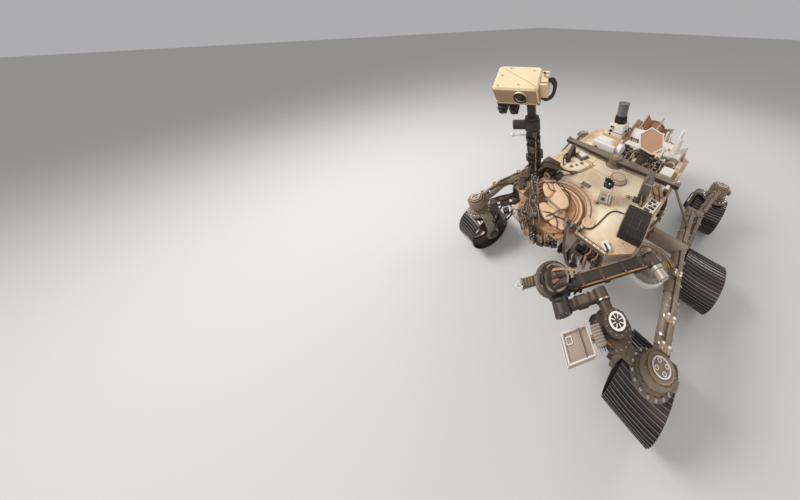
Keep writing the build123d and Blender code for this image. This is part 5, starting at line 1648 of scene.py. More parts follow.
@dataclass
class BayTrim:
    """Covers, seams, rim and hinge of the round bay, and the strap hoop before the cowl."""

    centre: Point = (0.812, -0.1178, 1.048)
    deck: float = 1.1
    lobe_top: float = 1.108
    lobes: Sequence[tuple[float, Outline]] = (
        (0.01, ((0.67, -0.372), (0.625, -0.35), (0.615, -0.295), (0.665, -0.232), (0.742, -0.202),
            (0.775, -0.225), (0.745, -0.29))),
        (0.018, ((0.6, -0.29), (0.578, -0.262), (0.606, -0.172), (0.651, -0.068), (0.712, 0.0),
            (0.775, 0.006), (0.838, -0.018), (0.836, -0.11), (0.815, -0.172), (0.74, -0.18),
            (0.655, -0.212))),
        (0.014, ((0.895, -0.206), (0.838, -0.176), (0.846, -0.085), (0.852, 0.0), (0.912, -0.006),
            (0.97, -0.042), (0.955, -0.125))),
        (0.008, ((0.966, -0.012), (0.902, 0.008), (0.864, 0.038), (0.882, 0.086), (0.902, 0.13),
            (0.956, 0.128), (0.974, 0.06))),
    )

    def arc(self, radius: float, first_deg: float, last_deg: float, height: float,
            steps: int = 40) -> list[Vector]:
        """Stations on an arc about the bay's centre.

        Args:
            radius: Radius of the arc.
            first_deg: Angle of its start.
            last_deg: Angle of its end.
            height: Height of the stations.
            steps: Number of steps along it.

        Returns:
            The stations, in order.
        """
        spots = []
        for index in range(steps + 1):
            out = heading(first_deg + (last_deg - first_deg) * index / steps, radius)
            spots.append(Vector((self.centre[0], self.centre[1], height)) + out)
        return spots

    def covers(self, form: Form) -> None:
        """Four rounded covers in a row, the grey strap along them and three thin cables.

        Args:
            form: Piece that takes them.
        """
        for lift, outline in self.lobes:
            smooth = closed_route(outline, 6)
            middle = sum((Vector(corner) for corner in outline), Vector((0, 0))) / len(outline)
            skirt = [(middle.x + (x - middle.x) * 1.05, middle.y + (y - middle.y) * 1.05)
                for x, y in smooth]
            form.slab(skirt, 1.056, self.lobe_top - 0.008, Finish.seam_brown, 0.004)
            form.slab(smooth, 1.06, self.lobe_top + lift - 0.004, Finish.peach_cover, 0.014)
        high = self.lobe_top + 0.016
        form.strap([(0.8, -0.23, 1.08), (0.808, -0.195, high + 0.002), (0.818, -0.095, high + 0.006),
            (0.83, -0.005, high + 0.002), (0.836, 0.025, 1.09)], 0.026, 0.004, Finish.grey_paint, steps=5)
        form.tube([(0.96, -0.06, high - 0.004), (0.9, -0.03, high + 0.004), (0.827, -0.01, high + 0.004),
            (0.733, 0.006, 1.082), (0.66, -0.03, 1.076), (0.6, -0.074, 1.078), (0.565, -0.15, 1.082),
            (0.554, -0.214, 1.104)], 0.0048, Finish.cable_dark, 8)
        form.tube([(0.64, -0.395, 1.102), (0.65, -0.33, high), (0.69, -0.25, high),
            (0.668, -0.195, high - 0.004), (0.61, -0.18, 1.076), (0.56, -0.24, 1.078),
            (0.545, -0.3, 1.104)], 0.0045, Finish.cable_dark, 8)
        form.tube([(0.905, -0.19, 1.07), (0.93, -0.11, high - 0.006), (0.905, -0.04, high + 0.002),
            (0.93, 0.04, high + 0.002), (0.985, 0.09, high - 0.01)], 0.0045, Finish.cable_dark, 8)

    def rim(self, form: Form) -> None:
        """Mouldings round the bay's edge, with their screws.

        Args:
            form: Piece that takes them.
        """
        floor = self.centre[2]
        rows = ((0.34, 0.026, 0.01, self.deck + 0.002, Finish.deck_white),
            (0.36, 0.007, 0.005, self.deck + 0.001, Finish.seam_brown),
            (0.3, 0.012, 0.01, floor + 0.016, Finish.seam_brown),
            (0.236, 0.01, 0.012, floor + 0.016, Finish.peach_cover),
            (0.222, 0.008, 0.008, floor + 0.014, Finish.seam_brown),
            (0.272, 0.018, 0.008, floor + 0.03, Finish.peach_cover),
            (0.321, 0.006, 0.008, self.deck - 0.006, Finish.seam_brown))
        for radius, width, thick, height, finish in rows:
            form.strap(self.arc(radius, 84, 276, height), width, thick, finish, steps=0)
        for spot in self.arc(0.338, 90, 270, self.deck + 0.006, 18):
            form.head(spot, 0.0045)
        for spot in self.arc(0.262, 96, 262, floor + 0.012, 10):
            form.head(spot, 0.0045)

    def hinge(self, form: Form) -> None:
        """Dark hinge at the bay's port front edge.

        Args:
            form: Piece that takes it.
        """
        form.block((0.872, 0.165, self.deck + 0.012), (0.046, 0.15, 0.024), Finish.cable_dark)
        form.block((0.905, 0.13, self.deck + 0.004), (0.05, 0.06, 0.04), Finish.tube_grey)
        form.rod((0.872, 0.075, self.deck + 0.03), (0.872, 0.255, self.deck + 0.03), 0.012,
            Finish.dark_metal, 20)
        for y in (0.105, 0.165, 0.225):
            form.rod((0.872, y - 0.012, self.deck + 0.03), (0.872, y + 0.012, self.deck + 0.03), 0.018,
                Finish.tube_grey, 20)
            form.head((0.895, y, self.deck + 0.024), 0.006, finish=Finish.bare_silver)
        form.head((0.85, 0.235, self.deck + 0.024), 0.009, finish=Finish.white_trim)

    def hoop(self, form: Form) -> None:
        """Dark strap that bows from the hinge down before the cowl, and a wire beside it.

        Args:
            form: Piece that takes them.
        """
        route = [(0.862, 0.125, self.deck + 0.03), (0.935, 0.15, self.deck + 0.024), (1.01, 0.19, 1.06),
            (1.045, 0.225, 0.985), (1.052, 0.262, 0.895), (1.015, 0.29, 0.815), (0.945, 0.3, 0.77),
            (0.885, 0.3, 0.755)]
        form.strap(route, 0.034, 0.007, Finish.dark_metal, up=(1, 0, 0.25))
        beside = [(x + 0.004, y + 0.019, z + 0.002) for x, y, z in route]
        form.tube(beside, 0.004, Finish.tube_grey, 6)

    def build(self) -> None:
        """Build the trim."""
        form = Form("bay_trim")
        self.covers(form)
        self.rim(form)
        self.hinge(form)
        self.hoop(form)
        form.settle("chassis", "deck_white")


@dataclass
class FrontTrim:
    """Connector racks from mast to bay, instruments before the cowl, and the port front edge's fittings."""

    deck: float = 1.1
    cowl: tuple[float, float] = (0.812, -0.118)
    cable_drop: Outline = ((0.262, 1.062), (0.292, 1.066), (0.312, 1.02), (0.314, 0.94), (0.285, 0.88))

    def rack(self, name: str, start: Vector, end: Vector, count: int, seed: int) -> None:
        """Row of connectors and cables on a rail.

        Args:
            name: Name of the piece.
            start: Rail's first end.
            end: Rail's other end.
            count: Pairs of connectors.
            seed: Seed of their heights and shades.
        """
        line = end - start
        place = Matrix.Translation(start) @ Matrix.Rotation(math.atan2(line.y, line.x), 4, "Z")
        form = Form(name, place)
        length = line.length
        form.block((length / 2, 0, 0.018), (length, 0.06, 0.014), Finish.grey_paint, bevel=0.003)
        for x in (0.03, length - 0.03):
            form.block((x, 0, 0.006), (0.02, 0.05, 0.012), Finish.dark_metal, bevel=0.002)
        chooser = random.Random(seed)
        shades = (Finish.cable_dark, Finish.dark_metal, Finish.turret_metal, Finish.cable_dark,
            Finish.bare_silver, Finish.olive_cover)
        for index in range(count):
            x = length * (index + 0.5) / count
            for y in (-0.017, 0.017):
                tall = chooser.uniform(0.022, 0.045)
                if (index + (y > 0)) % 3:
                    form.rod((x, y, 0.024), (x, y, 0.024 + tall), chooser.uniform(0.009, 0.014),
                        chooser.choice(shades), 14)
                    form.head((x, y, 0.024 + tall), 0.007)
                else:
                    form.block((x, y, 0.024 + tall / 2), (0.024, 0.022, tall), chooser.choice(shades),
                        bevel=0.002)
        for index in range(6):
            y = -0.04 + 0.016 * index
            form.tube([(0.0, y, 0.02), (length * 0.2, y + 0.008, 0.062), (length * 0.45, y - 0.008, 0.052),
                (length * 0.75, y + 0.006, 0.06), (length + 0.03, y, 0.012)], 0.0045,
                DARK_METAL_TAN[index % 3], 6)
        form.settle("chassis", "dark_metal")

    def instruments(self) -> None:
        """Small boxes, screws and wires on the cowl's front and above it."""
        form = Form("cowl_instruments")
        rows = ((-58, 0.985, 0.06, 0.075, Finish.gold_panel), (-44, 1.0, 0.052, 0.06, Finish.cable_dark),
            (-31, 0.978, 0.056, 0.09, Finish.cable_tan), (-18, 1.002, 0.048, 0.056, Finish.white_trim),
            (-6, 0.984, 0.06, 0.08, Finish.gold_panel), (8, 0.998, 0.044, 0.06, Finish.cable_dark),
            (20, 0.975, 0.056, 0.09, Finish.cable_tan), (33, 0.996, 0.05, 0.06, Finish.fin_paint),
            (45, 0.98, 0.05, 0.08, Finish.dark_metal))
        for turn_deg, z, width, tall, finish in rows:
            out, spin = heading(turn_deg), spun(turn_deg)
            spot = Vector((*self.cowl, z)) + out * 0.28
            form.block(spot, (0.036, width, tall), finish, spin, 0.004)
            form.block(spot - rise(0.078), (0.04, width * 1.15, 0.05), Finish.dark_metal, spin, 0.004)
            for dy, dz in product((-0.3, 0.3), (-0.3, 0.3)):
                form.head(spot + spin @ Vector((0.018, width * dy, tall * dz)), 0.005, out,
                    (Finish.bare_silver, Finish.white_trim)[dz > 0])
            form.rod(spot + rise(tall / 2), spot + rise(tall / 2 + 0.024), 0.011,
                (Finish.cable_dark, Finish.bare_silver)[turn_deg % 2], 14)
        for turn_deg, low, tall in ((-52, 0.862, 0.085), (-26, 0.858, 0.08), (0, 0.866, 0.07)):
            form.block(Vector((*self.cowl, low + tall / 2)) + heading(turn_deg, 0.288), (0.04, 0.108, tall),
                Finish.turret_skin, spun(turn_deg), 0.004)
        for index in range(9):
            out, base = heading(-60 + 13 * index), Vector((*self.cowl, 0))
            form.tube([base + out * reach + rise(z) for reach, z in self.cable_drop], 0.0055,
                DARK_TAN_METAL[index % 3], 6)
        form.settle("chassis", "dark_metal")

    def frames(self) -> None:
        """Dark frames, boxes and cables before the body's starboard front corner."""
        form = Form("corner_frames")
        rails = (((0.862, -0.5, 0.905), (1.105, -0.5, 0.865)), ((0.862, -0.555, 0.8), (1.105, -0.5, 0.8)),
            ((0.83, -0.585, 0.905), (1.05, -0.76, 0.855)), ((0.83, -0.585, 0.79), (1.05, -0.76, 0.8)),
            ((1.105, -0.5, 0.865), (1.05, -0.76, 0.855)), ((1.105, -0.5, 0.8), (1.05, -0.76, 0.8)),
            ((0.985, -0.5, 0.885), (0.95, -0.68, 0.88)), ((0.862, -0.52, 0.905), (1.05, -0.76, 0.8)),
            ((1.105, -0.5, 0.865), (1.105, -0.5, 0.8)), ((0.985, -0.5, 0.885), (1.02, -0.52, 0.8)),
            ((0.95, -0.68, 0.88), (1.08, -0.62, 0.86)))
        for start, end in rails:
            form.rod(start, end, 0.0085, Finish.band_dark, 10)
        boxes = ((1.055, -0.765, 0.83, 0.075, 0.085, 0.095, Finish.dark_metal),
            (0.965, -0.665, 0.855, 0.08, 0.06, 0.07, Finish.olive_cover),
            (1.105, -0.505, 0.835, 0.04, 0.08, 0.095, Finish.dark_metal),
            (1.03, -0.575, 0.845, 0.06, 0.06, 0.05, Finish.cable_dark),
            (0.9, -0.56, 0.93, 0.08, 0.06, 0.06, Finish.turret_metal),
            (0.88, -0.585, 0.85, 0.06, 0.05, 0.08, Finish.dark_metal))
        for x, y, z, deep, wide, tall, finish in boxes:
            form.block((x, y, z), (deep, wide, tall), finish, Matrix.Rotation(-0.5, 4, "Z"), 0.004)
            for dx, dy in product((-0.3, 0.3), repeat=2):
                form.head((x + deep * dx, y + wide * dy, z + tall / 2), 0.0055)
        skew = spun(-45)
        skewed = ((0.842, -0.582, 1.03, 0.03, 0.15, 0.13, Finish.dark_metal),
            (0.85, -0.59, 0.93, 0.04, 0.11, 0.07, Finish.olive_cover),
            (0.8, -0.545, 1.12, 0.06, 0.15, 0.034, Finish.dark_metal),
            (0.74, -0.6, 1.125, 0.06, 0.07, 0.045, Finish.olive_cover),
            (0.855, -0.5, 1.118, 0.05, 0.06, 0.03, Finish.turret_metal))
        for x, y, z, deep, wide, tall, finish in skewed:
            form.block((x, y, z), (deep, wide, tall), finish, skew, 0.004)
            for dx, dy in product((-0.36, 0.36), repeat=2):
                form.head(Vector((x, y, z + tall / 2)) + skew @ Vector((deep * dx, wide * dy, 0)), 0.005)
        for index in range(7):
            shift = skew @ Vector((0, -0.066 + 0.022 * index, 0))
            form.tube([Vector((0.824, -0.569, 1.14)) + shift, Vector((0.856, -0.598, 1.118)) + shift,
                Vector((0.868, -0.608, 1.05)) + shift, Vector((0.87, -0.612, 0.9)) + shift],
                0.0055 + 0.002 * (index % 2), DARK_TAN_METAL[index % 3], 7)
        for index in range(6):
            row, lift = index // 2, 0.017 * (index % 2)
            form.tube([(0.72 + 0.02 * row, -0.615, 1.03 - lift), (0.755 + 0.02 * row, -0.7, 1.01 - lift),
                (0.79 + 0.02 * row, -0.85, 0.93 - lift), (0.815 + 0.02 * row, -0.96, 0.86 - lift),
                (0.822 + 0.02 * row, -1.005, 0.842 - lift)], 0.0095,
                (Finish.cable_dark, Finish.dark_metal, Finish.olive_cover)[index % 3], 8)
        for x, y, z in ((0.78, -0.715, 1.0), (0.812, -0.86, 0.92)):
            form.block((x, y, z), (0.07, 0.016, 0.048), Finish.turret_metal, bevel=0.003)
        form.rod((1.01, -0.7, 0.905), (0.905, -0.64, 0.92), 0.026, Finish.dark_metal, 28, 0.004)
        form.rod((1.012, -0.7, 0.905), (1.0, -0.7, 0.83), 0.01, Finish.dark_metal, 12)
        form.rod((0.905, -0.64, 0.92), (0.885, -0.6, 0.9), 0.012, Finish.dark_metal, 12)
        for index in range(8):
            side = 0.014 * index
            form.tube([(0.868 - 0.004 * index, -0.56 + side / 2, 1.04 - 0.02 * index),
                (0.925, -0.6 - side, 1.0 - 0.02 * index), (0.985 - side / 3, -0.7, 0.945 - 0.015 * index),
                (1.035, -0.82 - side / 2, 0.855 - 0.008 * index), (1.062, -0.93, 0.77 - 0.006 * index),
                (1.075, -0.985, 0.715)], 0.0075, DARK_METAL_TAN[index % 3], 7)
        form.settle("chassis", "dark_metal")

    def edge(self) -> None:
        """Fasteners along the port front edge, the slotted fitting and the silver box below."""
        form = Form("front_edge_trim")
        for index in range(8):
            y = 0.24 + 0.034 * index
            finish = Finish.bare_silver if index % 2 else Finish.bolt_steel
            form.head((0.911, y, 1.126), 0.0065, finish=finish)
        askew = Matrix.Rotation(-0.6, 4, "Z")
        form.block((0.852, 0.462, 1.116), (0.052, 0.078, 0.032), Finish.white_trim, askew, 0.004)
        form.block((0.866, 0.47, 1.12), (0.016, 0.06, 0.032), Finish.cable_dark, askew, 0.002)
        form.block((0.96, 0.3, 0.9), (0.07, 0.085, 0.11), Finish.bare_silver, bevel=0.005)
        form.block((0.915, 0.3, 0.88), (0.07, 0.1, 0.15), Finish.dark_metal)
        for index in range(6):
            z = 0.835 + 0.026 * index
            form.rod((0.93, 0.36, z), (0.985, 0.372 + 0.004 * (index % 2), z), 0.011, GOLD_TAN[index % 2],
                14)
        for index in range(5):
            z = 0.8 + 0.05 * index
            form.block((0.9, 0.43, z), (0.045, 0.05, 0.036),
                (Finish.dark_metal, Finish.grey_paint)[index % 2], bevel=0.003)
            form.head((0.923, 0.43, z), 0.006, AHEAD)
        for index in range(5):
            y = 0.34 + 0.03 * index
            form.tube([(0.885, y, 1.06), (0.925, y + 0.01, 1.02), (0.935, y - 0.02, 0.95), (0.915, y, 0.88),
                (0.885, y, 0.82)], 0.006, DARK_TAN[index % 2], 6)
        form.settle("chassis", "dark_metal")

    def build(self) -> None:
        """Build every piece."""
        self.rack("connector_rack", Vector((0.655, -0.52, self.deck)), Vector((0.905, -0.272, self.deck)),
            12, 11)
        self.rack("bay_rack", Vector((0.88, -0.345, self.deck - 0.004)),
            Vector((1.05, -0.11, self.deck - 0.03)), 10, 8)
        self.rack("cowl_rack", Vector((1.02, -0.33, self.deck - 0.06)),
            Vector((1.09, -0.15, self.deck - 0.06)), 7, 3)
        self.instruments()
        self.frames()
        self.edge()


@dataclass
class SensorTrim:
    """Clutter on the sensor box, the oval drum's plate, the pillar's caps and the dark housing's frame."""

    deck: float = 1.1
    box: tuple[float, float] = (0.43, 0.2108)
    box_height: float = 0.17
    box_turn_deg: float = 18.0
    oval: tuple[float, float] = (0.0894, 0.1674)
    oval_height: float = 0.05
    pillar: tuple[float, float] = (0.188, 0.465)
    pillar_height: float = 0.23
    housing: tuple[float, float] = (0.5755, 0.5487)

    def sensor_box(self) -> None:
        """Dark parts on top of the sensor box, and the strip of connectors down its side."""
        place = Matrix.Translation((*self.box, self.deck)) @ spun(self.box_turn_deg)
        form = Form("sensor_box_trim", place)
        top = self.box_height
        form.block((0, 0, top + 0.006), (0.09, 0.09, 0.012), Finish.white_trim, bevel=0.003)
        rows = ((-0.028, -0.022, 0.018, 0.072), (-0.022, 0.02, 0.015, 0.06), (0.016, -0.026, 0.013, 0.05),
            (0.024, 0.01, 0.019, 0.046), (0.0, 0.034, 0.011, 0.068), (-0.004, -0.004, 0.012, 0.092))
        for x, y, radius, tall in rows:
            form.rod((x, y, top + 0.01), (x, y, top + 0.01 + tall), radius, Finish.cable_dark, 18)
            form.head((x, y, top + 0.01 + tall), radius * 0.5)
        for index in range(5):
            form.tube([(-0.03 + 0.014 * index, 0.03, top + 0.02), (0.01, 0.045 - 0.02 * index, top + 0.055),
                (0.04, -0.02, top + 0.02 + 0.006 * index)], 0.004, DARK_TAN[index % 2], 6)
        for side, out in ((0.0525, 1), (-0.0525, -1)):
            form.block((side, 0.03, 0.08), (0.006, 0.028, 0.13), Finish.white_trim, bevel=0.002)
            for index in range(6):
                form.rod((side, 0.03, 0.028 + 0.021 * index),
                    (side + out * 0.007, 0.03, 0.028 + 0.021 * index), 0.006, Finish.cable_dark, 12)
            form.block((side, -0.016, 0.118), (0.008, 0.046, 0.01), Finish.grey_paint, bevel=0.002)
            form.block((side, -0.018, 0.06), (0.008, 0.04, 0.05), Finish.grey_paint, bevel=0.002)
            form.rod((side, -0.018, 0.06), (side + out * 0.008, -0.018, 0.06), 0.012, Finish.lens_glass, 20)
        form.block((0, 0, 0.006), (0.124, 0.124, 0.012), Finish.grey_paint, bevel=0.003)
        form.bolts((0, 0, 0.012), 0.079, 4, 0.006, start_deg=45)
        form.settle("chassis", "body_white")

    def oval_plate(self) -> None:
        """Screw ring and flat rings on the low oval drum."""
        x, y = self.oval
        high = self.oval_height
        form = Form("oval_drum_trim", Matrix.Translation(rise(self.deck)))
        form.ring((x, y, high - 0.001), 0.074, 0.068, 0.004, Finish.cable_tan, sides=56)
        form.bolts((x, y, high), 0.062, 10, 0.004)
        form.ring((x, y, 0), 0.094, 0.08, 0.006, Finish.grey_paint, sides=56)
        form.settle("chassis", "body_white")

    def pillar_trim(self) -> None:
        """Grey faces, caps and screws of the pillar, and the fittings at its foot."""
        x, y = self.pillar
        place = Matrix.Translation((x, y, self.deck)) @ spun(8)
        form = Form("pillar_trim", place)
        tall = self.pillar_height
        form.block((0, 0, tall * 0.52), (0.086, 0.086, tall * 0.9), Finish.pillar_grey, bevel=0.006)
        wedge = [(-0.042, -0.04, tall), (0.042, -0.04, tall), (0.042, 0.04, tall), (-0.042, 0.04, tall),
            (-0.046, -0.016, tall + 0.085), (-0.004, -0.016, tall + 0.05), (-0.004, 0.024, tall + 0.05),
            (-0.046, 0.024, tall + 0.085)]
        form.add(wedge, BOX_SIDES, Finish.pillar_grey)
        form.strap([(0.046, -0.034, 0.01), (0.046, -0.03, tall), (0.0, -0.012, tall + 0.054)], 0.012, 0.004,
            Finish.tube_grey, up=(1, 0, 0.6), steps=4)
        for height in (0.05, 0.11, 0.17):
            for y_side in (-0.028, 0.028):
                form.head((0.043, y_side, height), 0.005, AHEAD)
        form.block((-0.06, 0.0, 0.03), (0.04, 0.08, 0.06), Finish.olive_cover)
        form.block((0.055, -0.045, 0.018), (0.05, 0.05, 0.036), Finish.olive_cover)
        for index in range(4):
            form.tube([(0.045, -0.03 + 0.02 * index, 0.1), (0.075, -0.02 + 0.02 * index, 0.05),
                (0.1, 0.01 * index, 0.01)], 0.005, (Finish.cable_dark, Finish.gold_wire)[index % 2], 6)
        form.settle("chassis", "body_white")

    def housing_frame(self) -> None:
        """Seams on the dark housing and the pale ladder frame that leans on its inboard rear side."""
        x, y = self.housing
        place = Matrix.Translation((x, y, self.deck)) @ spun(8)
        form = Form("housing_trim", place)
        arch = [(-0.126, 0.004), (-0.126, 0.104), (-0.1, 0.164), (-0.04, 0.194), (0.03, 0.184),
            (0.086, 0.14), (0.122, 0.074), (0.13, 0.004)]
        for low, high in ((-0.086, -0.03), (-0.026, 0.026), (0.03, 0.086)):
            points = [(along, across, height) for across in (low, high) for along, height in arch]
            count = len(arch)
            faces = [list(range(count)), list(range(count, 2 * count))]
            faces += [[k, (k + 1) % count, count + (k + 1) % count, count + k] for k in range(count)]
            form.add(points, faces, Finish.black_housing)
        for across in (-0.09, -0.028, 0.028, 0.09):
            finish = Finish.cable_tan if abs(across) > 0.05 else Finish.cable_dark
            for (ax, az), (bx, bz) in zip(arch, arch[1:]):
                form.rod((ax, across, az), (bx, across, bz), 0.0042, finish, 8)
        for ax, az in arch[1:-1]:
            form.rod((ax, -0.09, az), (ax, 0.09, az), 0.0034, Finish.dark_metal, 8)
        for index in range(5):
            form.rod((-0.13, -0.08 + 0.04 * index, 0.1), (-0.205, -0.1 + 0.045 * index, 0.004), 0.006,
                (Finish.gold_wire, Finish.tube_grey)[index % 2], 8)
        form.settle("chassis", "black_housing")

    def ladder(self) -> None:
        """Tan connector panel between the pillar and the housing, with a rail frame and rows of sockets."""
        start, end = Vector((0.15, 0.575, self.deck)), Vector((0.42, 0.56, self.deck))
        line = end - start
        place = Matrix.Translation(start) @ Matrix.Rotation(math.atan2(line.y, line.x), 4, "Z")
        form = Form("connector_panel", place)
        length, width = line.length, 0.085
        form.block((length / 2, 0, 0.02), (length, width, 0.04), Finish.gold_panel)
        for side in (-1, 1):
            form.rod((0.0, side * width * 0.47, 0.046), (length, side * width * 0.47, 0.046), 0.006,
                Finish.white_trim, 10)
        rungs = 6
        for index in range(rungs):
            x = length * (index + 0.5) / rungs
            form.rod((x, -width * 0.47, 0.046), (x, width * 0.47, 0.046), 0.005, Finish.white_trim, 10)
            for y_side in (-0.022, 0.0, 0.022):
                pick = (index + round(y_side * 50)) % 3
                finish = (Finish.cable_dark, Finish.white_trim, Finish.dark_metal)[pick]
                form.block((x + 0.018, y_side, 0.046), (0.018, 0.014, 0.014), finish, bevel=0.002)
        form.settle("chassis", "body_white")

    def build(self) -> None:
        """Build every piece."""
        self.sensor_box()
        self.oval_plate()
        self.pillar_trim()
        self.housing_frame()
        self.ladder()


@dataclass
class BarTrim:
    """Fittings of the bar across the deck: end brackets, hub cap, the white panel beside it, and a dark
    strip of painted shade along its front face.
    """

    x: float = -0.14
    deck: float = 1.1
    low: float = 1.152
    top: float = 1.198
    half: float = 0.682

    def build(self) -> None:
        """Build the trim."""
        form = Form("bar_trim")
        form.ring((self.x, 0, self.top + 0.015), 0.07, 0.04, 0.006, Finish.tube_grey, sides=48)
        form.bolts((self.x, 0, self.top + 0.021), 0.055, 10, 0.006)
        form.lathe([(0.036, 0), (0.034, 0.012), (0.018, 0.018), (0, 0.018)], Finish.cable_tan,
            (self.x, 0, self.top + 0.014))
        for side in (-1, 1):
            # Dark strip on the bar's front face: painted shade of the side turned from the light, below its
            # lit top.
            form.strap([(self.x + 0.0615, 0.0, self.low + 0.02),
                (self.x + 0.0345, side * self.half, self.low + 0.02)], 0.04, 0.003, Finish.dark_metal,
                up=AHEAD, steps=0)
            for share in (0.2, 0.45, 0.7, 0.92):
                form.head((self.x, side * self.half * share, self.top), 0.007)
            form.rod((self.x, side * 0.656, self.top - 0.002), (self.x, side * 0.656, self.top + 0.022),
                0.022, Finish.grey_paint, 24)
            form.head((self.x, side * 0.656, self.top + 0.022), 0.01)
        form.settle("chassis", "beige_paint")
        self.port_end()
        self.port_wall()
        self.starboard_end()

    def port_end(self) -> None:
        """White panel and gold post under the bar's port end."""
        form = Form("bar_port_fittings", Matrix.Translation(rise(self.deck)))
        form.block((-0.106, 0.475, 0.016), (0.104, 0.205, 0.032), Finish.white_trim)
        form.block((0.004, 0.528, 0.013), (0.092, 0.14, 0.026), Finish.gold_panel)
        form.lathe([(0.026, 0), (0.026, 0.022), (0.02, 0.03), (0, 0.033)], Finish.fin_paint,
            (-0.058, 0.515, 0.03), sides=32)
        form.rod((-0.06, 0.448, 0.03), (-0.06, 0.448, 0.085), 0.013, Finish.cable_dark, 14,
            end_radius=0.005)
        for index in range(5):
            height = 0.01 + 0.034 * index
            form.block((-0.235, 0.597, height), (0.034, 0.034, 0.028), GOLD_TAN[index % 2], bevel=0.003)
        form.block((-0.075, 0.597, 0.036), (0.06, 0.03, 0.072), Finish.white_trim, bevel=0.003)
        form.block((-0.02, 0.6, 0.03), (0.05, 0.03, 0.06), Finish.cable_dark, bevel=0.003)
        for index in range(4):
            form.tube([(-0.02, 0.45 + 0.03 * index, 0.03), (0.04, 0.48 + 0.03 * index, 0.03),
                (0.11, 0.54 + 0.02 * index, 0.012)], 0.005,
                (Finish.gold_wire, Finish.cable_dark)[index % 2], 6)
        form.settle("chassis", "body_white")

    def port_wall(self) -> None:
        """Dark cylinders, boxes and cables along the body's port wall under the deck's edge."""
        form = Form("port_wall_fittings")
        chooser = random.Random(21)
        darks = (Finish.dark_metal, Finish.cable_dark, Finish.olive_cover, Finish.turret_metal,
            Finish.shoulder_silver, Finish.white_trim)
        for index in range(11):
            x = -0.02 + 0.04 * index
            z = chooser.uniform(0.93, 1.03)
            finish = chooser.choice(darks)
            if index % 3:
                form.block((x, 0.642, z), (0.034, 0.044, chooser.uniform(0.05, 0.09)), finish, bevel=0.003)
                form.head((x, 0.664, z), 0.006, PORT)
            else:
                form.rod((x, 0.62, z), (x, 0.676, z), 0.024, finish, 24, 0.003)
                form.ring((x, 0.676, z), 0.019, 0.01, 0.004, Finish.bolt_steel, PORT, 20)
        for index in range(5):
            z = 1.075 - 0.03 * index
            form.tube([(-0.05, 0.626, z), (0.06, 0.655, z - 0.012), (0.2, 0.66, z + 0.008),
                (0.34, 0.655, z - 0.01), (0.46, 0.628, z)], 0.007, DARK_TAN_GOLD[index % 3], 7)
        form.settle("chassis", "dark_metal")

    def starboard_end(self) -> None:
        """White block, dark wedge and pointed bracket by the bar's starboard end."""
        form = Form("bar_starboard_fittings", Matrix.Translation(rise(self.deck)))
        askew = Matrix.Rotation(-0.35, 4, "Z")
        form.block((-0.03, -0.375, 0.022), (0.08, 0.11, 0.044), Finish.white_trim, askew, 0.005)
        form.block((-0.012, -0.38, 0.012), (0.12, 0.15, 0.024), Finish.olive_cover, askew, 0.004)
        for x, y, size in ((0.1, -0.29, 0.02), (0.17, -0.315, 0.014), (0.23, -0.345, 0.018)):
            form.rod((x, y, 0), (x, y, 0.016), size, Finish.grey_paint, 24)
            form.head((x, y, 0.016), size * 0.4)
        wedge = Matrix.Translation((0.09, -0.48, 0))
        form.add([wedge @ Vector(p) for p in ((-0.09, -0.03, 0), (0.07, -0.03, 0), (0.07, 0.03, 0),
            (-0.09, 0.03, 0), (-0.09, -0.02, 0.12), (-0.05, -0.02, 0.125), (-0.05, 0.02, 0.125),
            (-0.09, 0.02, 0.12))], BOX_SIDES, Finish.cable_dark)
        form.lathe([(0.032, 0), (0.032, 0.06), (0.026, 0.068), (0, 0.068)], Finish.dark_metal,
            (0.17, -0.44, 0), sides=28)
        form.tube([(0.28, -0.42, 0.01), (0.22, -0.47, 0.05), (0.14, -0.5, 0.06), (0.03, -0.5, 0.02)], 0.009,
            Finish.cable_dark, 8)
        form.settle("chassis", "beige_paint")


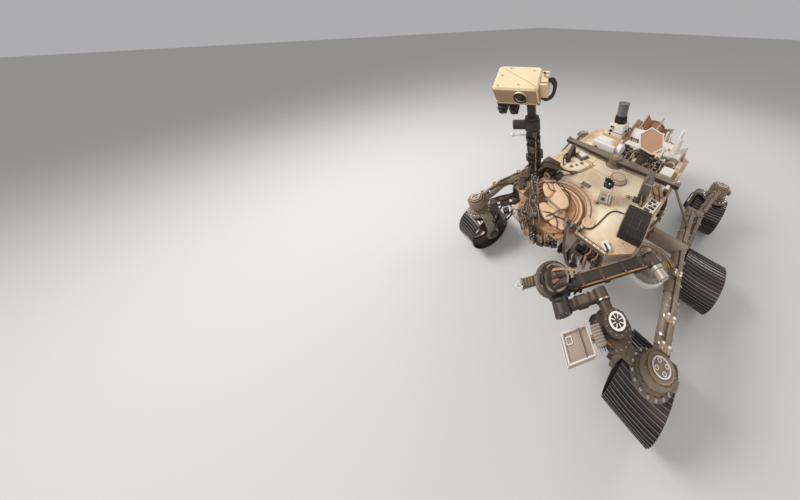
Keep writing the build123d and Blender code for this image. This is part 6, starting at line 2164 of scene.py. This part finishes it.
@dataclass
class RearTrim:
    """White boxes, straps, cables, panels and small parts on the rear deck and beside the power source."""

    deck: float = 1.1
    box: tuple[float, float] = (-0.35, -0.2232)
    box_height: float = 0.16

    def front_box(self) -> None:
        """Yellow top, dark socket and rounded white front of the box before the drum antenna."""
        x, y = self.box
        high = self.box_height
        form = Form("rear_box_trim", Matrix.Translation(rise(self.deck)))
        form.block((x - 0.085, y - 0.005, high + 0.005), (0.05, 0.25, 0.014), Finish.yellow_cover)
        form.block((x + 0.015, y + 0.105, high + 0.005), (0.15, 0.04, 0.014), Finish.yellow_cover)
        form.block((x + 0.01, y - 0.03, high + 0.004), (0.11, 0.18, 0.008), Finish.white_trim, bevel=0.003)
        form.rod((x + 0.126, y - 0.09, 0.085), (x + 0.133, y - 0.09, 0.085), 0.017, Finish.cable_dark, 20)
        form.rod((x + 0.02, y + 0.14, 0.095), (x + 0.02, y + 0.215, 0.095), 0.075, Finish.white_trim, 36,
            0.012)
        form.strap([(x + 0.09, y + 0.1, 0.005), (x + 0.11, y + 0.128, 0.1),
            (x + 0.06, y + 0.13, high + 0.012), (x - 0.06, y + 0.11, high + 0.014)], 0.034, 0.006,
            Finish.yellow_cover, up=(0.4, 0.4, 1))
        form.settle("chassis", "body_white")

    def clutter(self) -> None:
        """Small dark, brown and white parts that fill the deck under and round the dish."""
        form = Form("rear_deck_clutter", Matrix.Translation(rise(self.deck)))
        chooser = random.Random(5)
        darks = (Finish.dark_metal, Finish.cable_dark, Finish.olive_cover, Finish.turret_metal,
            Finish.white_trim, Finish.cable_dark)
        for ix, iy in product(range(7), range(10)):
            x = -0.575 + 0.052 * ix + chooser.uniform(-0.01, 0.01)
            y = -0.04 + 0.054 * iy + chooser.uniform(-0.01, 0.01)
            if math.hypot(x + 0.395, y - 0.217) < 0.105 or (y < 0.02 and x > -0.3):
                continue
            tall = chooser.uniform(0.025, 0.075)
            finish = chooser.choice(darks)
            if chooser.random() < 0.5:
                size = (chooser.uniform(0.03, 0.05), chooser.uniform(0.03, 0.055), tall)
                turn = Matrix.Rotation(chooser.uniform(-0.4, 0.4), 4, "Z")
                form.block((x, y, tall / 2), size, finish, turn, 0.003)
            else:
                form.rod((x, y, 0), (x, y, tall), chooser.uniform(0.012, 0.022), finish, 18)
            form.head((x, y, tall), 0.006)
        for index in range(9):
            y = -0.04 + 0.055 * index
            route = [(-0.24, y, 0.008), (-0.3, y + 0.03, 0.05),
                (-0.4 - 0.02 * (index % 3), y + 0.02, 0.065), (-0.52, y + 0.05, 0.045),
                (-0.64, y + 0.03, 0.01)]
            if index in (3, 4, 5):
                route = [(-0.25, y, 0.008), (-0.285, y + 0.04, 0.03), (-0.27, y + 0.08, 0.008)]
            form.tube(route, 0.006 + 0.002 * (index % 2), DARK_TAN_GOLD[index % 3], 7)
        form.settle("chassis", "body_white")

    def cameras(self) -> None:
        """Two pale boxes with round eyes at the port end of the clutter."""
        form = Form("deck_eyes", Matrix.Translation(rise(self.deck)))
        form.block((-0.52, 0.4, 0.035), (0.06, 0.06, 0.07), Finish.white_trim)
        form.rod((-0.489, 0.4, 0.04), (-0.482, 0.4, 0.04), 0.014, Finish.lens_glass, 20)
        form.rod((-0.6, 0.5, 0.045), (-0.5, 0.5, 0.045), 0.045, Finish.cable_tan, 32, 0.006)
        form.ring((-0.5, 0.5, 0.045), 0.046, 0.032, 0.006, Finish.white_trim, AHEAD, 32)
        form.block((-0.55, 0.575, 0.03), (0.15, 0.05, 0.06), Finish.body_white)
        form.settle("chassis", "body_white")

    def panels(self) -> None:
        """White sheets that lean behind the dish, their pipes, and the grey rail over them."""
        form = Form("rear_panels", Matrix.Translation(rise(self.deck)))
        lean = spun(48, "Y")
        form.block((-0.765, 0.0, 0.094), (0.25, 0.23, 0.008), Finish.white_trim, lean, 0.003)
        form.block((-0.79, 0.4, 0.062), (0.165, 0.32, 0.008), Finish.white_trim, lean, 0.003)
        form.strap([(-0.7, -0.11, 0.03), (-0.846, -0.11, 0.192), (-0.846, 0.112, 0.192),
            (-0.7, 0.112, 0.03)], 0.012, 0.012, Finish.gold_wire, up=(0.7, 0, 0.7), steps=0)
        form.block((-0.77, 0.44, 0.09), (0.08, 0.1, 0.034), Finish.white_trim)
        for y in (-0.08, -0.02, 0.04, 0.1, 0.3, 0.36, 0.42, 0.5):
            form.head((-0.77, y, 0.048), 0.006, (0.743, 0, 0.669), Finish.cable_dark)
        for y in (-0.11, 0.13, 0.245, 0.555):
            form.rod((-0.84, y, 0), (-0.86, y, 0.13), 0.007, Finish.tube_grey, 10)
        form.strap([(-0.842, -0.2, 0.15), (-0.862, 0.14, 0.14)], 0.034, 0.022, Finish.tube_grey, steps=0)
        for y in (-0.18, 0.12):
            form.rod((-0.842, y, 0), (-0.848, y, 0.142), 0.009, Finish.tube_grey, 10)
        chooser = random.Random(9)
        shades = (Finish.white_trim, Finish.cable_dark, Finish.cable_tan, Finish.gold_wire)
        for index in range(14):
            y = 0.2 + 0.028 * index
            form.rod((-0.72 + chooser.uniform(-0.03, 0.03), y, 0), (-0.74, y, chooser.uniform(0.04, 0.13)),
                chooser.uniform(0.007, 0.014), chooser.choice(shades), 12)
        for index in range(6):
            y = -0.13 + 0.03 * index
            form.tube([(-0.6, y, 0.01), (-0.66, y + 0.02, 0.07), (-0.72, y, 0.1), (-0.79, y + 0.02, 0.02)],
                0.008, (Finish.fin_paint, Finish.cable_tan, Finish.dark_metal)[index % 3], 7)
        form.settle("chassis", "panel_white")

    def posts(self) -> None:
        """White posts and triangle that stand before the power source, with brown pipes beside them."""
        form = Form("rear_posts")
        for x, y, tall in ((-0.9, 0.29, 0.3), (-0.915, 0.335, 0.27), (-0.905, 0.25, 0.26)):
            form.rod((x, y, 0.985), (x, y, 0.985 + tall + 0.05), 0.013, Finish.white_trim, 16, 0.003)
            form.rod((-0.852, y, 1.02), (x, y, 1.02), 0.01, Finish.white_trim, 12)
        corners = [(-0.905, -0.115, 1.15), (-0.905, 0.045, 1.15), (-0.925, -0.035, 1.285),
            (-0.917, -0.115, 1.15), (-0.917, 0.045, 1.15), (-0.933, -0.035, 1.285)]
        sides = [(0, 1, 2), (3, 4, 5), (0, 1, 4, 3), (1, 2, 5, 4), (2, 0, 3, 5)]
        form.add(corners, sides, Finish.white_trim)
        for y in (-0.1, 0.03):
            form.rod((-0.852, y, 1.03), (-0.911, y, 1.155), 0.008, Finish.tube_grey, 10)
        for index in range(4):
            z = 1.0 + 0.03 * index
            form.tube([(-0.862, 0.42, z), (-0.91, 0.4 + 0.02 * index, z + 0.05), (-0.92, 0.36, z + 0.11),
                (-0.9, 0.25, z + 0.12)], 0.009, (Finish.fin_paint, Finish.cable_tan)[index % 2], 8)
        form.settle("chassis", "panel_white")

    def build(self) -> None:
        """Build every piece."""
        self.front_box()
        self.clutter()
        self.cameras()
        self.panels()
        self.posts()


def wheels_of(frame: Frame) -> list[tuple[str, Vector, int]]:
    """Names, middles and sides of the wheels, from the rolling joints.


    Returns:
        One row for each wheel.
    """
    rows = []
    for joint in frame["joints"]:
        kind, _, name = joint["name"].partition("_")
        if kind == "roll":
            centre = Vector(joint["pos_m"])
            rows.append((name, centre, 1 if centre.y > 0 else -1))
    return rows


@dataclass
class Studio:
    """Pale floor, soft lamps and the camera at the photograph's viewing place."""

    camera_at: Point = (1.751, 0.717, 2.506)
    yaw_deg: float = 222.534
    pitch_deg: float = -36.942
    focal_px: float = 200.0
    centre_px: tuple[float, float] = (550.0, 165.0)
    frame_px: tuple[float, float] = (800.0, 500.0)
    sensor_mm: float = 36.0
    aim_z: float = 0.6
    floor_reach: float = 40.0
    floor_colour: Colour = (0.66, 0.64, 0.61)
    sky_colour: Colour = (0.95, 0.95, 0.97)
    sky_strength: float = 0.44

    def camera(self) -> None:
        """Set up the camera."""
        data = bpy.data.cameras.new("camera")
        data.sensor_width = self.sensor_mm
        data.lens = self.sensor_mm * self.focal_px / self.frame_px[0]
        data.shift_x = (self.frame_px[0] / 2 - self.centre_px[0]) / self.frame_px[0]
        data.shift_y = (self.centre_px[1] - self.frame_px[1] / 2) / self.frame_px[0]
        data.clip_start = 0.02
        data.clip_end = 200.0
        camera = bpy.data.objects.new("camera", data)
        yaw = math.radians(self.yaw_deg)
        pitch = math.radians(self.pitch_deg)
        ahead = Vector((math.cos(yaw) * math.cos(pitch), math.sin(yaw) * math.cos(pitch), math.sin(pitch)))
        camera.location = self.camera_at
        camera.rotation_mode = "QUATERNION"
        camera.rotation_quaternion = ahead.to_track_quat("-Z", "Y")
        bpy.context.scene.collection.objects.link(camera)
        bpy.context.scene.camera = camera

    def lamp(self, name: str, place: Point, size: float, power: float) -> None:
        """Add one square lamp that looks at the rover.

        Args:
            name: Name of the lamp.
            place: Where it hangs.
            size: Length of its side.
            power: Its power in watts.
        """
        data = bpy.data.lights.new(name, "AREA")
        data.size = size
        data.energy = power
        lamp = bpy.data.objects.new(name, data)
        lamp.location = place
        lamp.rotation_mode = "QUATERNION"
        lamp.rotation_quaternion = (rise(self.aim_z) - Vector(place)).to_track_quat("-Z", "Y")
        bpy.context.scene.collection.objects.link(lamp)

    def floor(self) -> None:
        """Lay the pale floor."""
        mesh = bpy.data.meshes.new("floor")
        signs = ((-1, -1), (1, -1), (1, 1), (-1, 1))
        mesh.from_pydata([(self.floor_reach * x, self.floor_reach * y, 0) for x, y in signs], [],
            [(0, 1, 2, 3)])
        floor = bpy.data.objects.new("floor", mesh)
        bpy.context.scene.collection.objects.link(floor)
        matt = Graph("pale_floor").surface({"Base Color": (*self.floor_colour, 1), "Roughness": 0.9})
        mesh.materials.append(matt)

    def build(self) -> None:
        """Set up floor, lamps, world and camera."""
        self.floor()
        self.lamp("key", (3.2, -4.4, 6.4), 2.6, 420)
        self.lamp("fill", (4.5, 5.0, 4.0), 4.0, 95)
        self.lamp("rear", (-5.0, 1.5, 5.0), 4.0, 110)
        world = bpy.data.worlds.new("world")
        world.use_nodes = True
        background = world.node_tree.nodes["Background"]
        background.inputs["Color"].default_value = (*self.sky_colour, 1)
        background.inputs["Strength"].default_value = self.sky_strength
        bpy.context.scene.world = world
        bpy.context.scene.view_settings.view_transform = "Standard"
        self.camera()


def main() -> None:
    """Build every sub-assembly in order."""
    logging.basicConfig(level=logging.INFO)
    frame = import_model()
    Studio().build()
    dress_solids(frame)
    for name, centre, side in wheels_of(frame):
        Wheel(name, centre, side).build()
        if not name.startswith("middle"):
            SteeringDrum(name, Vector((centre.x, centre.y, 0)), side).build()
    for name, side in (("left", 1), ("right", -1)):
        SideHarness(name, side).build()
    arm = ArmTrim.measured(frame)
    arm.build()
    TurretTrim(arm).build()
    MastTrim().build()
    HeadTrim.measured(frame).build()
    DishTrim.measured(frame).build()
    for trim in (AntennaTrim(), PowerTrim(), DeckTrim(), BayTrim(), FrontTrim(), SensorTrim(), BarTrim(),
            RearTrim()):
        trim.build()
    log.info("dressed %d solids", len(frame["nodes"]))


if __name__ == "__main__":
    main()
